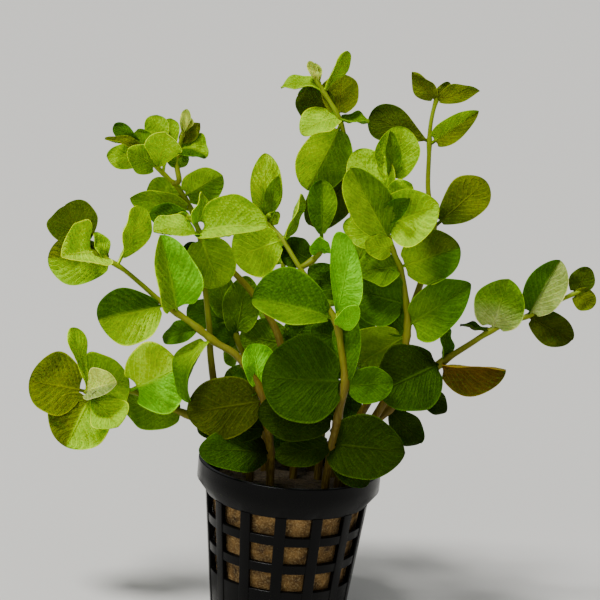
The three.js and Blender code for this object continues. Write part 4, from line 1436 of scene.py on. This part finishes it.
def wool_body():
    """A turned plug with a lumpy skin."""
    heights = np.linspace(WOOL_FOOT, WOOL_TOP - WOOL_EDGE_DROP, WOOL_ROWS)
    radii = [wall_radius(min(height, WOOL_TAPER_TOP)) - WOOL_CLEAR for height in heights]
    top_radii = np.linspace(radii[-1] - WOOL_SHOULDER, WOOL_MIDDLE_RADIUS, WOOL_TOP_ROWS)
    rows = list(zip(radii, heights)) + [(radius, WOOL_TOP) for radius in top_radii]
    chance = np.random.default_rng(WOOL_SEED)
    points = [(0, 0, WOOL_FOOT)]
    for radius, height in rows:
        for column in range(WOOL_COLUMNS):
            angle = 2 * math.pi * column / WOOL_COLUMNS
            dent = chance.uniform(0, WOOL_DENT)
            reach = radius - dent
            points.append((reach * math.cos(angle), reach * math.sin(angle), height - dent))
    points.append((0, 0, WOOL_TOP - WOOL_HOLLOW))
    last = 1 + (len(rows) - 1) * WOOL_COLUMNS
    faces = []
    for column in range(WOOL_COLUMNS):
        after = (column + 1) % WOOL_COLUMNS
        faces.append((0, 1 + after, 1 + column))
        faces.append((len(points) - 1, last + column, last + after))
        for row in range(len(rows) - 1):
            first, second = 1 + row * WOOL_COLUMNS + column, 1 + row * WOOL_COLUMNS + after
            faces.append((first, second, second + WOOL_COLUMNS, first + WOOL_COLUMNS))
    thing = mesh_object("plug", points, faces)
    thing.data.materials.append(WOOL)
    return thing


def fibre_tree():
    """The tree that scatters short bowed fibres over the plug."""
    inputs = (
        ("Plug", GEOMETRY, None),
        ("Fibres per area", FLOAT, 1.0),
        ("Length", FLOAT, FIBRE_LENGTH * MM),
        ("Thickness", FLOAT, FIBRE_RADIUS * MM),
        ("Seed", WHOLE, 3),
    )
    tree, given = new_growth("fibres on the wool", inputs, "Wool")
    sowing = {"Mesh": given["Plug"], "Density": given["Fibres per area"], "Seed": given["Seed"]}
    scatter = add_node(tree, "GeometryNodeDistributePointsOnFaces", sowing)
    half_length = maths(tree, "MULTIPLY", given["Length"], 0.5)
    bow_height = maths(tree, "MULTIPLY", given["Length"], FIBRE_BOW)
    middle = add_node(tree, "ShaderNodeCombineXYZ", {"X": half_length, "Z": bow_height})
    end = add_node(tree, "ShaderNodeCombineXYZ", {"X": given["Length"]})
    bow = {"Resolution": 3, "Start": (0, 0, 0), "Middle": middle, "End": end}
    arc = add_node(tree, "GeometryNodeCurveQuadraticBezier", bow)
    circle = {"Resolution": 3, "Radius": given["Thickness"]}
    section = add_node(tree, "GeometryNodeCurvePrimitiveCircle", circle)
    fibre = add_node(tree, "GeometryNodeCurveToMesh", {"Curve": arc, "Profile Curve": section})
    most = {"Max": (FIBRE_TILT, FIBRE_TILT, 2 * math.pi)}
    spin = add_node(tree, "FunctionNodeRandomValue", most, data_type="FLOAT_VECTOR")
    turning = {"Rotation": scatter.outputs["Rotation"], "Rotate By": spin}
    turned = add_node(tree, "FunctionNodeRotateRotation", turning, rotation_space="LOCAL")
    laying = {"Points": scatter, "Instance": fibre, "Rotation": turned}
    laid = add_node(tree, "GeometryNodeInstanceOnPoints", laying)
    both = add_node(tree, "GeometryNodeJoinGeometry", {0: given["Plug"]})
    tree.links.new(laid.outputs[0], both.inputs[0])
    finish_growth(tree, both, WOOL)
    return tree


plug = wool_body()
plug_area = sum(face.area for face in plug.data.polygons)
use_growth(plug, fibre_tree(), {"Fibres per area": FIBRES / plug_area})
wool = finished(plug, "rock_wool_plug")
settle(wool, "rock_wool")
print("wool:", len(wool.data.polygons), "faces")

# %% [markdown]
# ## Floor and light
# A plain pale floor and soft light from above, like a product table under a large lamp. The plant's own
# shade darkens its lower leaves, and their dark tones add painted shade to them, so the top light does most
# of the work.

# %% Lay the floor and hang the lights
FLOOR_SIZE = 14
PLANT_MIDDLE = (0.0, 0.0, 0.09)
SUN_DIRECTION = (0.34, 0.36, -1.0)
SUN_SPREAD = 14
SUN_STRENGTH = 3.7
FILL_SPOT = (-0.5, -0.9, 0.45)
FILL_SIZE = 0.7
FILL_POWER = 3.0
SKY_STRENGTH = 0.34


def lay_floor():
    """A wide square of pale paper."""
    material, tree = new_material("pale paper floor")
    add_surface(tree, {"Base Color": linear("#DAD8D2"), "Roughness": 0.9})
    half = FLOOR_SIZE / 2
    mesh = bpy.data.meshes.new("floor")
    corners = [(-half, -half, 0), (half, -half, 0), (half, half, 0), (-half, half, 0)]
    mesh.from_pydata(corners, [], [(0, 1, 2, 3)])
    mesh.materials.append(material)
    thing = add_object("floor", mesh)


def facing(away):
    """The turn that makes a lamp shine the opposite way."""
    away = away / np.linalg.norm(away)
    sideways = np.cross([0, 1, 0.01], away)
    sideways = sideways / np.linalg.norm(sideways)
    return Matrix((sideways, np.cross(away, sideways), away)).transposed().to_4x4()


def hang_light(name, spot, aim, size, power):
    """A square lamp at a place, aimed at a point, both in metres."""
    data = bpy.data.lights.new(name, "AREA")
    data.size = size
    data.energy = power
    turn = facing(np.array(spot) - np.array(aim))
    add_object(name, data).matrix_world = Matrix.Translation(spot) @ turn


def hang_sun(name, direction, spread, strength):
    """A far, wide lamp that shines along a direction. Its spread in degrees softens the shadows."""
    data = bpy.data.lights.new(name, "SUN")
    data.angle = math.radians(spread)
    data.energy = strength
    add_object(name, data).matrix_world = facing(-np.array(direction))


lay_floor()
hang_sun("top light", SUN_DIRECTION, SUN_SPREAD, SUN_STRENGTH)
hang_light("front fill", FILL_SPOT, PLANT_MIDDLE, FILL_SIZE, FILL_POWER)
world = bpy.data.worlds.new("studio")
world.use_nodes = True
sky = world.node_tree.nodes["Background"]
sky.inputs[0].default_value = linear("#EEF1F4")
sky.inputs[1].default_value = SKY_STRENGTH
bpy.context.scene.world = world
print("floor and lights ready")
